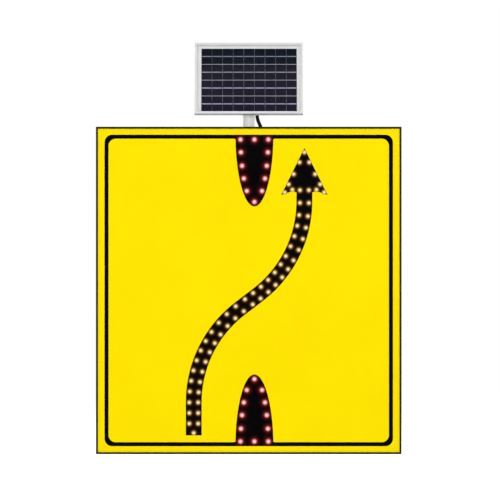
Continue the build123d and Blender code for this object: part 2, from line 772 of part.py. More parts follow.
# Terminal blocks: two on the controller, one on each lamp board
SIDE_BLOCK = (12, 16, 48)
FOOT_BLOCK = (40, 16, 12)
BLOCK_STEP = 22
BLOCK_REAR = PLATE_BACK + BLOCK_STEP
PLUG = (12, 6, 9)
PLUG_PLACES = ((46, 4), (31, 254), (31, -254))
CONTROL_LEFT = CONTROL_X - CONTROL_W / 2
CONTROL_FOOT = CONTROL_Z - CONTROL_H / 2
with BuildPart() as wire_terminals:
    with BuildSketch(front_plane(BLOCK_REAR)):
        with Locations((CONTROL_LEFT - SIDE_BLOCK[0] / 2, CONTROL_Z)):
            Rectangle(SIDE_BLOCK[0], SIDE_BLOCK[2])
        with Locations((CONTROL_X, CONTROL_FOOT - FOOT_BLOCK[2] / 2)):
            Rectangle(FOOT_BLOCK[0], FOOT_BLOCK[2])
    extrude(amount=SIDE_BLOCK[1])
    with BuildSketch(front_plane(BOARD_BACK + PLUG[1])):
        with Locations(*PLUG_PLACES):
            Rectangle(PLUG[0], PLUG[2])
    extrude(amount=PLUG[1])
wire_terminals.part.label = "wire_terminals"
export_step(wire_terminals.part, "parts/wire_terminals.step")

SWITCH_DEPTH = 8.5
SWITCH_WELL = (11.4, 17.6)
SWITCH_FACE = CONTROL_REAR + SWITCH_BEZEL[2]
ROCKER_SINK = 1.2
ROCKER_Y = CONTROL_REAR - ROCKER_SINK
TRUNNION_R = 1.5
TRUNNION_SEAT = 0.5
TRUNNION_END = SWITCH_WELL[0] / 2 + TRUNNION_SEAT
with BuildPart() as switch_body:
    with BuildSketch(front_plane(CONTROL_REAR)):
        with Locations((SWITCH_X, SWITCH_Z)):
            Rectangle(SWITCH_BODY[0], SWITCH_BODY[1])
    extrude(amount=SWITCH_BODY[2])
    with BuildSketch(front_plane(SWITCH_FACE)):
        with Locations((SWITCH_X, SWITCH_Z)):
            RectangleRounded(SWITCH_BEZEL[0], SWITCH_BEZEL[1], BEZEL_R)
    extrude(amount=SWITCH_BEZEL[2])
    with BuildSketch(front_plane(SWITCH_FACE)):
        with Locations((SWITCH_X, SWITCH_Z)):
            Rectangle(SWITCH_WELL[0], SWITCH_WELL[1])
    extrude(amount=SWITCH_DEPTH, mode=Mode.SUBTRACT)
    with BuildSketch(Plane.YZ.offset(SWITCH_X)):
        with Locations((ROCKER_Y, SWITCH_Z)):
            Circle(TRUNNION_R + RUN_FIT)
    extrude(amount=TRUNNION_END + SLIP, both=True, mode=Mode.SUBTRACT)
switch_body.part.label = "switch_body"
export_step(switch_body.part, "parts/switch_body.step")

ROCKER_HALF = 8
ROCKER_W = 10.8
ROCKER_TIP = 4.2
ROCKER_DIP = 3.2
ROCKER_EDGE = 1.4
ROCKER_KEEL = 3
ROCKER_PLANE = Plane(
    origin=(SWITCH_X, ROCKER_Y, SWITCH_Z),
    x_dir=(0, cos(radians(SWITCH_PRESS)), sin(radians(SWITCH_PRESS))),
    z_dir=(1, 0, 0),
)
with BuildPart() as switch_rocker:
    with BuildSketch(ROCKER_PLANE):
        Polygon(
            (ROCKER_TIP, -ROCKER_HALF),
            (ROCKER_DIP, 0),
            (ROCKER_TIP, ROCKER_HALF),
            (ROCKER_EDGE, ROCKER_HALF),
            (-ROCKER_KEEL, ROCKER_KEEL),
            (-ROCKER_KEEL, -ROCKER_KEEL),
            (ROCKER_EDGE, -ROCKER_HALF),
            align=None,
        )
    extrude(amount=ROCKER_W / 2, both=True)
    with BuildSketch(ROCKER_PLANE):
        Circle(TRUNNION_R)
    extrude(amount=TRUNNION_END, both=True)
switch_rocker.part.label = "switch_rocker"
export_step(switch_rocker.part, "parts/switch_rocker.step")

# Inner screws: pan heads that hold the boards, the battery strap and the controller
STRAP_EAR_X = BAND_HALF + BAND_T + BAND_EAR / 2
STRAP_EAR_Z = (BAND_Z[0] + BAND_Z[1]) / 2
STRAP_EARS = [(BATTERY_X + side * STRAP_EAR_X, STRAP_EAR_Z) for side in (-1, 1)]
EAR_SCREW_X = 30
EAR_SCREW_Z = (CONTROL_H + CONTROL_EAR) / 2
EAR_SCREWS = []
for x_side in (-1, 1):
    for z_side in (-1, 1):
        EAR_SCREWS.append((CONTROL_X + x_side * EAR_SCREW_X, CONTROL_Z + z_side * EAR_SCREW_Z))
with BuildPart() as inner_screws:
    board_heads = front_plane(BOARD_BACK + BOARD_PAN_H)
    strap_heads = front_plane(PLATE_BACK + BAND_T + PAN_H)
    control_heads = front_plane(PLATE_BACK + CONTROL_EAR_T + PAN_H)
    add(pan_heads(STANDOFF_PLACES, board_heads, BOARD_PAN_R, BOARD_PAN_H, BOARD_KEY_DEPTH))
    add(pan_heads(STRAP_EARS, strap_heads, PAN_R, PAN_H, KEY_DEPTH))
    add(pan_heads(EAR_SCREWS, control_heads, PAN_R, PAN_H, KEY_DEPTH))
    with BuildSketch(front_plane(BOARD_BACK)):
        with Locations(*STANDOFF_PLACES):
            Circle(BOARD_SCREW_R)
    extrude(amount=BOARD_SCREW_L)
inner_screws.part.label = "inner_screws"
export_step(inner_screws.part, "parts/inner_screws.step")

# Inner leads: battery to controller, controller to the boards, and the solar lead's inner end
BLOCK_MID = BLOCK_REAR - SIDE_BLOCK[1] / 2
BLOCK_LEFT = CONTROL_LEFT - SIDE_BLOCK[0]
BLOCK_FOOT = CONTROL_FOOT - FOOT_BLOCK[2]
TERMINAL_TOP = BATTERY_TOP + TERMINAL_H
PLUG_Y = BOARD_BACK + PLUG[1] / 2


def battery_route(side):
    """Route from a battery terminal up to the controller's foot block."""
    start_x = BATTERY_X + side * TERMINAL_X
    end_x = CONTROL_X + side * 10
    return (
        (start_x, TERMINAL_Y, TERMINAL_TOP),
        (start_x, TERMINAL_Y, TERMINAL_TOP + 15),
        (start_x - side * 22, TERMINAL_Y - 12, TERMINAL_TOP + 29),
        (end_x + side * 12, BLOCK_MID + 12, BLOCK_FOOT - 24),
        (end_x, BLOCK_MID, BLOCK_FOOT - 14),
        (end_x, BLOCK_MID, BLOCK_FOOT),
    )


with BuildPart() as battery_leads:
    for side in (-1, 1):
        add(lead_tube(battery_route(side), LEAD_D))
battery_leads.part.label = "battery_leads"
export_step(battery_leads.part, "parts/battery_leads.step")

ARROW_LEAD = (
    (BLOCK_LEFT, BLOCK_MID, CONTROL_Z - 6),
    (150, BLOCK_MID, CONTROL_Z - 6),
    (115, -122, 2),
    (82, -126, 2),
    (66, PLUG_Y, 4),
    (PLUG_PLACES[0][0] + PLUG[0] / 2, PLUG_Y, 4),
)
UPPER_LEAD = (
    (BLOCK_LEFT, BLOCK_MID, CONTROL_Z + 6),
    (156, BLOCK_MID, CONTROL_Z + 6),
    (138, -120, 34),
    (125, -119, 70),
    (116, -118, 115),
    (108, -118, 165),
    (92, -120, 210),
    (70, -124, 243),
    (54, PLUG_Y, 254),
    (PLUG_PLACES[1][0] + PLUG[0] / 2, PLUG_Y, 254),
)
LOWER_LEAD = (
    (BLOCK_LEFT, BLOCK_MID, CONTROL_Z - 18),
    (156, BLOCK_MID, CONTROL_Z - 18),
    (138, -120, -20),
    (128, -119, -60),
    (120, -118, -110),
    (110, -118, -165),
    (93, -120, -212),
    (71, -124, -244),
    (54, PLUG_Y, -254),
    (PLUG_PLACES[2][0] + PLUG[0] / 2, PLUG_Y, -254),
)
CHARGE_LEAD = (
    (GLAND_X, COVER_INNER - GLAND_TAIL, GLAND_Z),
    (GLAND_X, -86, GLAND_Z),
    (68, -98, 248),
    (80, -104, 215),
    (96, -107, 170),
    (114, -110, 125),
    (132, -113, 82),
    (146, BLOCK_MID, 48),
    (158, BLOCK_MID, CONTROL_Z + 18),
    (BLOCK_LEFT, BLOCK_MID, CONTROL_Z + 18),
)
with BuildPart() as inner_leads:
    for route in (ARROW_LEAD, UPPER_LEAD, LOWER_LEAD, CHARGE_LEAD):
        add(lead_tube(route, LEAD_D))
inner_leads.part.label = "inner_leads"
export_step(inner_leads.part, "parts/inner_leads.step")

# Rear cover with the service opening, its gasket and its screws
COVER_W = FACE_W - 2 * (WALL + FIT)
COVER_H = FACE_H - 2 * (WALL + FIT)
GASKET_INNER = 16
GLAND_HOLE_R = 8.2
with BuildPart() as rear_cover:
    with BuildSketch(front_plane(BACK_Y)):
        Rectangle(COVER_W, COVER_H)
        with Locations((DOOR_X, 0)):
            RectangleRounded(OPENING_W, OPENING_H, OPENING_R, mode=Mode.SUBTRACT)
        with Locations(*COVER_SCREWS):
            Circle(M4_HOLE_R, mode=Mode.SUBTRACT)
        with Locations(*RAIL_BOLTS, *MAST_BOLTS):
            Circle(M6_HOLE_R, mode=Mode.SUBTRACT)
        with Locations((GLAND_X, GLAND_Z)):
            Circle(GLAND_HOLE_R, mode=Mode.SUBTRACT)
    extrude(amount=COVER_T)
rear_cover.part.label = "rear_cover"
export_step(rear_cover.part, "parts/rear_cover.step")

with BuildPart() as rear_gasket:
    with BuildSketch(front_plane(COVER_INNER)):
        Rectangle(COVER_W, COVER_H)
        Rectangle(FACE_W - 2 * GASKET_INNER, FACE_H - 2 * GASKET_INNER, mode=Mode.SUBTRACT)
        with Locations(*COVER_SCREWS):
            Circle(M4_HOLE_R, mode=Mode.SUBTRACT)
        with Locations(*RAIL_BOLTS):
            Circle(M6_HOLE_R, mode=Mode.SUBTRACT)
    extrude(amount=GASKET_T)
rear_gasket.part.label = "rear_gasket"
export_step(rear_gasket.part, "parts/rear_gasket.step")

SCREW_HEAD_R = 4
SCREW_OVER = 2
with BuildPart() as cover_screws:
    add(pan_heads(COVER_SCREWS, front_plane(BACK_Y + PAN_H), SCREW_HEAD_R, PAN_H, KEY_DEPTH))
    with BuildSketch(front_plane(BACK_Y)):
        with Locations(*COVER_SCREWS):
            Circle(M4_R)
    extrude(amount=BACK_Y - LEDGE_REAR + REAR_LEDGE_T + SCREW_OVER)
cover_screws.part.label = "cover_screws"
export_step(cover_screws.part, "parts/cover_screws.step")

# Mounting rails, lipped channels bolted through the cover to the stiles' ledges
with BuildPart() as mount_rails:
    with BuildSketch(Plane.YZ.offset(-RAIL_LENGTH / 2)):
        with Locations((BACK_Y, CLAMP_Z)):
            Rectangle(RAIL_DEPTH, RAIL_H, align=(Align.MIN, Align.CENTER))
        with Locations((RAIL_FRONT, CLAMP_Z)):
            inner = RAIL_DEPTH - 2 * RAIL_T
            Rectangle(inner, RAIL_H - 2 * RAIL_T, align=(Align.MIN, Align.CENTER), mode=Mode.SUBTRACT)
            Rectangle(RAIL_DEPTH, RAIL_SLOT, align=(Align.MIN, Align.CENTER), mode=Mode.SUBTRACT)
    extrude(amount=RAIL_LENGTH)
    with BuildSketch(front_plane(RAIL_FRONT)):
        with Locations((-RAIL_BOLT_X, CLAMP_Z), (RAIL_BOLT_X, CLAMP_Z)):
            Circle(M6_HOLE_R)
    extrude(amount=RAIL_T, mode=Mode.SUBTRACT)
    mirror(about=Plane.XY)
mount_rails.part.label = "mount_rails"
export_step(mount_rails.part, "parts/mount_rails.step")

# Post clamps: a saddle on each rail and a strap round the far side of the post
SADDLE_TOP = -10
SADDLE_CREST = 34
SADDLE_ROOT = 38
STRAP_FOOT = -4
CLAMP_BOLTS = [(side * CLAMP_BOLT_X, level * CLAMP_Z) for side in (-1, 1) for level in (-1, 1)]
with BuildPart() as post_saddles:
    with BuildSketch(Plane.XY.offset(CLAMP_Z - CLAMP_H / 2)):
        Polygon(
            (-SADDLE_HALF, SADDLE_Y),
            (SADDLE_HALF, SADDLE_Y),
            (SADDLE_HALF, SADDLE_Y + SADDLE_BASE),
            (SADDLE_ROOT, SADDLE_Y + SADDLE_BASE),
            (SADDLE_CREST, SADDLE_TOP),
            (-SADDLE_CREST, SADDLE_TOP),
            (-SADDLE_ROOT, SADDLE_Y + SADDLE_BASE),
            (-SADDLE_HALF, SADDLE_Y + SADDLE_BASE),
            align=None,
        )
        Circle(CLAMP_R, mode=Mode.SUBTRACT)
    extrude(amount=CLAMP_H)
    mirror(about=Plane.XY)
    with BuildSketch(front_plane(SADDLE_Y + SADDLE_BASE)):
        with Locations(*CLAMP_BOLTS):
            Circle(M8_HOLE_R)
    extrude(amount=SADDLE_BASE, mode=Mode.SUBTRACT)
post_saddles.part.label = "post_saddles"
export_step(post_saddles.part, "parts/post_saddles.step")

with BuildPart() as post_straps:
    with BuildSketch(Plane.XY.offset(CLAMP_Z - CLAMP_H / 2)):
        Circle(CLAMP_R + STRAP_T)
        with Locations((0, STRAP_FOOT)):
            Rectangle(2 * SADDLE_HALF, STRAP_T, align=(Align.CENTER, Align.MIN))
            Rectangle(2 * SADDLE_HALF, 2 * CLAMP_R, align=(Align.CENTER, Align.MAX), mode=Mode.SUBTRACT)
        Circle(CLAMP_R, mode=Mode.SUBTRACT)
    extrude(amount=CLAMP_H)
    mirror(about=Plane.XY)
    with BuildSketch(front_plane(STRAP_FOOT + STRAP_T)):
        with Locations(*CLAMP_BOLTS):
            Circle(M8_HOLE_R)
    extrude(amount=STRAP_T, mode=Mode.SUBTRACT)
post_straps.part.label = "post_straps"
export_step(post_straps.part, "parts/post_straps.step")

TEE_LENGTH = 30
TEE_WIDTH = 12
TEE_T = 7
WASHER_R = 8
WASHER_T = 1.6
CLAMP_BOLT_END = 13
STRAP_FACE = STRAP_FOOT + STRAP_T
TEE_SEAT = SADDLE_Y - RAIL_T
with BuildPart() as clamp_bolts:
    with BuildSketch(front_plane(TEE_SEAT)):
        with Locations(*CLAMP_BOLTS):
            Rectangle(TEE_WIDTH, TEE_LENGTH)
    extrude(amount=TEE_T)
    add(bolt_shanks(CLAMP_BOLTS, front_plane(CLAMP_BOLT_END), CLAMP_BOLT_END - TEE_SEAT, M8_R))
    with BuildSketch(front_plane(STRAP_FACE + WASHER_T)):
        with Locations(*CLAMP_BOLTS):
            Circle(WASHER_R)
            Circle(M8_R + NUT_FIT, mode=Mode.SUBTRACT)
    extrude(amount=WASHER_T)
    nut_rear = STRAP_FACE + WASHER_T + M8_NUT + NUT_FIT
    add(hex_ring(CLAMP_BOLTS, front_plane(nut_rear), M8_ACROSS, M8_NUT, M8_R + NUT_FIT))
clamp_bolts.part.label = "clamp_bolts"
export_step(clamp_bolts.part, "parts/clamp_bolts.step")

# Mast behind the cabinet, on pads, under two straps
with BuildPart() as mast:
    with BuildSketch(Plane.XY.offset(MAST_BOTTOM)):
        with Locations((0, MAST_Y)):
            Circle(MAST_R)
            Circle(MAST_R - MAST_WALL, mode=Mode.SUBTRACT)
    extrude(amount=MAST_TOP - MAST_BOTTOM)
mast.part.label = "mast"
export_step(mast.part, "parts/mast.step")

MAST_PLUG_HEAD = 3
MAST_PLUG_ROUND = 1.5
MAST_PLUG_REACH = 12
with BuildPart() as mast_plug:
    with BuildSketch(Plane.XY.offset(MAST_BOTTOM)):
        with Locations((0, MAST_Y)):
            Circle(MAST_R)
    extrude(amount=-MAST_PLUG_HEAD)
    fillet(mast_plug.edges().group_by(Axis.Z)[0], MAST_PLUG_ROUND)
    with BuildSketch(Plane.XY.offset(MAST_BOTTOM)):
        with Locations((0, MAST_Y)):
            Circle(MAST_R - MAST_WALL - TOUCH)
    extrude(amount=MAST_PLUG_REACH)
mast_plug.part.label = "mast_plug"
export_step(mast_plug.part, "parts/mast_plug.step")

STRAP_BORE = MAST_R + TOUCH
PAD_HALF = 12.4
PAD_DEPTH = 9
with BuildPart() as mast_pads:
    for level in MAST_STRAP_Z:
        with BuildSketch(Plane.XY.offset(level - MAST_STRAP_W / 2)):
            with Locations((0, BACK_Y)):
                Rectangle(2 * PAD_HALF, PAD_DEPTH, align=(Align.CENTER, Align.MIN))
            with Locations((0, MAST_Y)):
                Circle(STRAP_BORE, mode=Mode.SUBTRACT)
        extrude(amount=MAST_STRAP_W)
mast_pads.part.label = "mast_pads"
export_step(mast_pads.part, "parts/mast_pads.step")

with BuildPart() as mast_straps:
    for level in MAST_STRAP_Z:
        with BuildSketch(Plane.XY.offset(level - MAST_STRAP_W / 2)):
            with Locations((0, MAST_Y)):
                Circle(STRAP_BORE + MAST_STRAP_T)
            with Locations((0, BACK_Y)):
                leg = 2 * (STRAP_BORE + MAST_STRAP_T)
                Rectangle(leg, MAST_STANDOFF, align=(Align.CENTER, Align.MIN))
                Rectangle(2 * MAST_STRAP_HALF, MAST_STRAP_T, align=(Align.CENTER, Align.MIN))
            with Locations((0, MAST_Y)):
                Circle(STRAP_BORE, mode=Mode.SUBTRACT)
            with Locations((0, BACK_Y)):
                Rectangle(2 * STRAP_BORE, MAST_STANDOFF, align=(Align.CENTER, Align.MIN), mode=Mode.SUBTRACT)
        extrude(amount=MAST_STRAP_W)
    with BuildSketch(front_plane(BACK_Y + MAST_STRAP_T)):
        with Locations(*MAST_BOLTS):
            Circle(M6_HOLE_R)
    extrude(amount=MAST_STRAP_T, mode=Mode.SUBTRACT)
mast_straps.part.label = "mast_straps"
export_step(mast_straps.part, "parts/mast_straps.step")

# Hexagon bolts through the rear cover: four in the rails, four in the mast straps
COVER_BOLT_REACH = 14
with BuildPart() as cover_bolts:
    add(hex_ring(RAIL_BOLTS + MAST_BOLTS, front_plane(RAIL_FRONT + M6_HEAD), M6_ACROSS, M6_HEAD, 0))
    with BuildSketch(front_plane(RAIL_FRONT)):
        with Locations(*RAIL_BOLTS, *MAST_BOLTS):
            Circle(M6_R)
    extrude(amount=RAIL_T + COVER_BOLT_REACH)
    add(hex_ring(RAIL_BOLTS, front_plane(LEDGE_REAR - REAR_LEDGE_T), M6_ACROSS, M6_NUT, M6_R + NUT_FIT))
    add(hex_ring(MAST_BOLTS, front_plane(COVER_INNER), M6_ACROSS, M6_NUT, M6_R + NUT_FIT))
cover_bolts.part.label = "cover_bolts"
export_step(cover_bolts.part, "parts/cover_bolts.step")

# Cable gland on the rear cover, with its lock nut inside
with BuildPart() as rear_gland:
    add(hex_ring([(GLAND_X, GLAND_Z)], front_plane(BACK_Y + GLAND_BASE), 2 * GLAND_R, GLAND_BASE, 0))
    with BuildSketch(front_plane(GLAND_MOUTH)):
        with Locations((GLAND_X, GLAND_Z)):
            Circle(GLAND_R - GLAND_STEP)
    extrude(amount=GLAND_DOME)
    fillet(rear_gland.edges().filter_by(GeomType.CIRCLE).group_by(Axis.Y)[-1], GLAND_ROUND)
    with BuildSketch(front_plane(GLAND_MOUTH)):
        with Locations((GLAND_X, GLAND_Z)):
            with PolarLocations(GLAND_R - GLAND_STEP, GLAND_FLUTES):
                Circle(GLAND_FLUTE_R)
    extrude(amount=GLAND_DOME, mode=Mode.SUBTRACT)
    with BuildSketch(front_plane(BACK_Y)):
        with Locations((GLAND_X, GLAND_Z)):
            Circle(GLAND_HOLE_R - SLIP)
    extrude(amount=COVER_T + GLAND_TAIL)
    with BuildSketch(front_plane(COVER_INNER)):
        with Locations((GLAND_X, GLAND_Z)):
            RegularPolygon(GLAND_R, 6, major_radius=False)
    extrude(amount=GLAND_NUT)
rear_gland.part.label = "rear_gland"
export_step(rear_gland.part, "parts/rear_gland.step")

# Service door: a shallow pan that closes on a gasket round the opening
with BuildPart() as service_door:
    with BuildSketch(front_plane(DOOR_FRONT)):
        with Locations((DOOR_X, 0)):
            RectangleRounded(DOOR_W, DOOR_H, DOOR_R)
    extrude(amount=DOOR_RIM)
    fillet(service_door.faces().sort_by(Axis.Y)[-1].edges(), DOOR_ROUND)
    with BuildSketch(front_plane(DOOR_BACK)):
        with Locations((DOOR_X, 0)):
            RectangleRounded(DOOR_W - 2 * DOOR_T, DOOR_H - 2 * DOOR_T, DOOR_R - DOOR_T)
    extrude(amount=DOOR_RIM, mode=Mode.SUBTRACT)
    with BuildSketch(front_plane(DOOR_FRONT)):
        with Locations((LOCK_X, 0)):
            Circle(LOCK_R + SLIP)
    extrude(amount=DOOR_T, mode=Mode.SUBTRACT)
service_door.part.label = "service_door"
export_step(service_door.part, "parts/service_door.step")

with BuildPart() as door_gasket:
    with BuildSketch(front_plane(DOOR_BACK)):
        with Locations((DOOR_X, 0)):
            inner_w = OPENING_W + 2 * DOOR_GASKET_STEP
            inner_h = OPENING_H + 2 * DOOR_GASKET_STEP
            outer_w = inner_w + 2 * DOOR_GASKET_W
            outer_h = inner_h + 2 * DOOR_GASKET_W
            RectangleRounded(outer_w, outer_h, DOOR_GASKET_R)
            RectangleRounded(inner_w, inner_h, DOOR_GASKET_INNER_R, mode=Mode.SUBTRACT)
    extrude(amount=DOOR_GASKET_T)
door_gasket.part.label = "door_gasket"
export_step(door_gasket.part, "parts/door_gasket.step")

# Door hinges: fixed leaves with their pins, and door leaves
KNUCKLE_HALF = HINGE_H / 6
LEAF_END = 347
DOOR_LEAF_END = 313
PIN_OVER = 1.5
PIN_SEAT = 0.02
KNUCKLE_CLEAR = 0.5
LEAF_CLEAR = 1
with BuildPart() as hinge_fixed_leaves:
    for level in (-HINGE_Z, HINGE_Z):
        with BuildSketch(Plane.XY.offset(level - HINGE_H / 2)):
            with Locations((HINGE_X, HINGE_Y)):
                Circle(KNUCKLE_R)
            with Locations((HINGE_X, BACK_Y)):
                Rectangle(LEAF_END - HINGE_X, LEAF_T, align=Align.MIN)
                Rectangle(KNUCKLE_R, HINGE_Y - BACK_Y, align=Align.MIN)
            with Locations((HINGE_X, HINGE_Y)):
                Circle(HINGE_PIN_R + PIN_SEAT, mode=Mode.SUBTRACT)
        extrude(amount=HINGE_H)
        with BuildSketch(Plane.XY.offset(level - KNUCKLE_HALF - KNUCKLE_GAP)):
            with Locations((HINGE_X, HINGE_Y)):
                Circle(KNUCKLE_R + KNUCKLE_CLEAR)
        extrude(amount=2 * (KNUCKLE_HALF + KNUCKLE_GAP), mode=Mode.SUBTRACT)
        with BuildSketch(Plane.XY.offset(level - HINGE_H / 2 - PIN_OVER)):
            with Locations((HINGE_X, HINGE_Y)):
                Circle(HINGE_PIN_R)
        extrude(amount=HINGE_H + 2 * PIN_OVER)
hinge_fixed_leaves.part.label = "hinge_fixed_leaves"
export_step(hinge_fixed_leaves.part, "parts/hinge_fixed_leaves.step")

with BuildPart() as hinge_door_leaves:
    for level in (-HINGE_Z, HINGE_Z):
        with BuildSketch(Plane.XY.offset(level - HINGE_H / 2)):
            with Locations((DOOR_LEAF_END, DOOR_FRONT)):
                Rectangle(HINGE_X - KNUCKLE_R - LEAF_CLEAR - DOOR_LEAF_END, LEAF_T, align=Align.MIN)
        extrude(amount=HINGE_H)
        with BuildSketch(Plane.XY.offset(level - KNUCKLE_HALF)):
            with Locations((HINGE_X, HINGE_Y)):
                Circle(KNUCKLE_R)
            with Locations((DOOR_LEAF_END, DOOR_FRONT)):
                Rectangle(HINGE_X - DOOR_LEAF_END, LEAF_T, align=Align.MIN)
            with Locations((HINGE_X, HINGE_Y)):
                Circle(HINGE_PIN_R + RUN_FIT, mode=Mode.SUBTRACT)
        extrude(amount=2 * KNUCKLE_HALF)
hinge_door_leaves.part.label = "hinge_door_leaves"
export_step(hinge_door_leaves.part, "parts/hinge_door_leaves.step")

# Cam lock, drawn unlocked: the cam hangs down and clears the opening's edge
LOCK_FLANGE = 3
LOCK_FLANGE_R = 11.5
LOCK_ROUND = 1.2
CAM_T = 2.5
CAM_GAP = 1.5
CAM_BOSS_R = 8
CAM_ROUND = 3
CAM_NUT = (8, 3)
CAM_FRONT = COVER_INNER - CAM_GAP
LOCK_FACE = DOOR_FRONT + LOCK_FLANGE
LOCK_NUT = (22, 4)
with BuildPart() as lock_housing:
    with BuildSketch(front_plane(LOCK_FACE)):
        with Locations((LOCK_X, 0)):
            Circle(LOCK_FLANGE_R)
    extrude(amount=LOCK_FLANGE)
    fillet(lock_housing.edges().filter_by(GeomType.CIRCLE).group_by(Axis.Y)[-1], LOCK_ROUND)
    with BuildSketch(front_plane(DOOR_FRONT)):
        with Locations((LOCK_X, 0)):
            Circle(LOCK_R)
    extrude(amount=DOOR_FRONT - CAM_FRONT)
    with BuildSketch(front_plane(LOCK_FACE)):
        with Locations((LOCK_X, 0)):
            Circle(BARREL_LOCK_R + RUN_FIT)
    extrude(amount=LOCK_FACE - CAM_FRONT, mode=Mode.SUBTRACT)
    add(hex_ring([(LOCK_X, 0)], front_plane(DOOR_BACK), LOCK_NUT[0], LOCK_NUT[1], LOCK_R + TOUCH))
lock_housing.part.label = "lock_housing"
export_step(lock_housing.part, "parts/lock_housing.step")

BARREL_SINK = 0.5
BARREL_FACE = LOCK_FACE - BARREL_SINK
KEYHOLE = (1.6, 7)
KEYHOLE_DEPTH = 4.5
with BuildPart() as lock_barrel:
    with BuildSketch(front_plane(BARREL_FACE)):
        with Locations((LOCK_X, 0)):
            Circle(BARREL_LOCK_R)
    extrude(amount=BARREL_FACE - CAM_FRONT)
    with BuildSketch(front_plane(BARREL_FACE)):
        with Locations((LOCK_X, 0)):
            Rectangle(KEYHOLE[0], KEYHOLE[1])
    extrude(amount=KEYHOLE_DEPTH, mode=Mode.SUBTRACT)
lock_barrel.part.label = "lock_barrel"
export_step(lock_barrel.part, "parts/lock_barrel.step")

with BuildPart() as lock_cam:
    with BuildSketch(front_plane(CAM_FRONT)):
        with Locations((LOCK_X, 0)):
            Circle(CAM_BOSS_R)
            Rectangle(2 * CAM_HALF, CAM_REACH, align=(Align.CENTER, Align.MAX))
    extrude(amount=CAM_T)
    fillet(lock_cam.edges().filter_by(Axis.Y).group_by(Axis.Z)[0], CAM_ROUND)
    add(hex_ring([(LOCK_X, 0)], front_plane(CAM_FRONT - CAM_T), CAM_NUT[0], CAM_NUT[1], 0))
lock_cam.part.label = "lock_cam"
export_step(lock_cam.part, "parts/lock_cam.step")

# Swivel head: a split collar on the mast's top with the eye of the tilt hinge
HEAD_EAR = (10, 18, 20)
HEAD_EAR_REACH = 14
HEAD_ROUND = 1.5
EAR_ROUND = 5
HEAD_SLIT = (3, 30)
SLIT_START = 10
SLIT_CAP = 2
TONGUE_ROOT = 2
PINCH_REACH = 25
PINCH_RISE = 16
PINCH_Y = MAST_Y + PINCH_REACH
PINCH_Z = HEAD_BOTTOM + PINCH_RISE
PIVOT = (0, MAST_Y, PIVOT_Z)
with BuildPart() as swivel_head:
    with BuildSketch(Plane.XY.offset(HEAD_BOTTOM)):
        with Locations((0, MAST_Y)):
            Circle(HEAD_R)
    extrude(amount=HEAD_TOP - HEAD_BOTTOM)
    fillet(swivel_head.edges().filter_by(GeomType.CIRCLE), HEAD_ROUND)
    with BuildSketch(Plane.XY.offset(PINCH_Z - HEAD_EAR[2] / 2)):
        with Locations((0, MAST_Y + HEAD_EAR_REACH)):
            Rectangle(2 * HEAD_EAR[0] + HEAD_SLIT[0], HEAD_EAR[1], align=(Align.CENTER, Align.MIN))
    extrude(amount=HEAD_EAR[2])
    fillet(swivel_head.edges().filter_by(Axis.X).group_by(Axis.Y)[-1], EAR_ROUND)
    with BuildSketch(Plane.YZ):
        with Locations((MAST_Y, PIVOT_Z)):
            Circle(EYE_R)
            Rectangle(2 * EYE_R, HEAD_DROP + TONGUE_ROOT, align=(Align.CENTER, Align.MAX))
    extrude(amount=TONGUE_HALF, both=True)
    with BuildSketch(Plane.XY.offset(HEAD_BOTTOM)):
        with Locations((0, MAST_Y)):
            Circle(MAST_R + RUN_FIT)
    extrude(amount=MAST_TOP + NUT_FIT - HEAD_BOTTOM, mode=Mode.SUBTRACT)
    with BuildSketch(Plane.XY.offset(HEAD_BOTTOM)):
        with Locations((0, MAST_Y + SLIT_START)):
            Rectangle(HEAD_SLIT[0], HEAD_SLIT[1], align=(Align.CENTER, Align.MIN))
    extrude(amount=MAST_TOP - SLIT_CAP - HEAD_BOTTOM, mode=Mode.SUBTRACT)
    with BuildSketch(Plane.YZ):
        with Locations((PINCH_Y, PINCH_Z)):
            Circle(M6_HOLE_R)
        with Locations((MAST_Y, PIVOT_Z)):
            Circle(M8_R + TOUCH)
    extrude(amount=HEAD_R, both=True, mode=Mode.SUBTRACT)
swivel_head.part.label = "swivel_head"
export_step(swivel_head.part, "parts/swivel_head.step")

PINCH_FACE = HEAD_EAR[0] + HEAD_SLIT[0] / 2
with BuildPart() as pinch_bolt:
    add(hex_ring([(PINCH_Y, PINCH_Z)], Plane.YZ.offset(-PINCH_FACE - M6_HEAD), M6_ACROSS, M6_HEAD, 0))
    pinch_length = 2 * PINCH_FACE + BOLT_END
    add(bolt_shanks([(-PINCH_Y, PINCH_Z)], side_plane(PINCH_FACE + BOLT_END), pinch_length, M6_R))
    add(hex_ring([(PINCH_Y, PINCH_Z)], Plane.YZ.offset(PINCH_FACE), M6_ACROSS, M6_NUT, M6_R + NUT_FIT))
pinch_bolt.part.label = "pinch_bolt"
export_step(pinch_bolt.part, "parts/pinch_bolt.step")

LUG_INNER = TONGUE_HALF + LUG_GAP
LUG_OUTER = LUG_INNER + LUG_T
BOLT_SEAT = LUG_OUTER + LUG_GAP
with BuildPart() as tilt_bolt:
    add(hex_ring([(MAST_Y, PIVOT_Z)], Plane.YZ.offset(-BOLT_SEAT - M8_HEAD), M8_ACROSS, M8_HEAD, 0))
    tilt_length = 2 * BOLT_SEAT + BOLT_END
    add(bolt_shanks([(-MAST_Y, PIVOT_Z)], side_plane(BOLT_SEAT + BOLT_END), tilt_length, M8_R))
    add(hex_ring([(MAST_Y, PIVOT_Z)], Plane.YZ.offset(BOLT_SEAT), M8_ACROSS, M8_NUT, M8_R + NUT_FIT))
tilt_bolt.part.label = "tilt_bolt"
export_step(tilt_bolt.part, "parts/tilt_bolt.step")

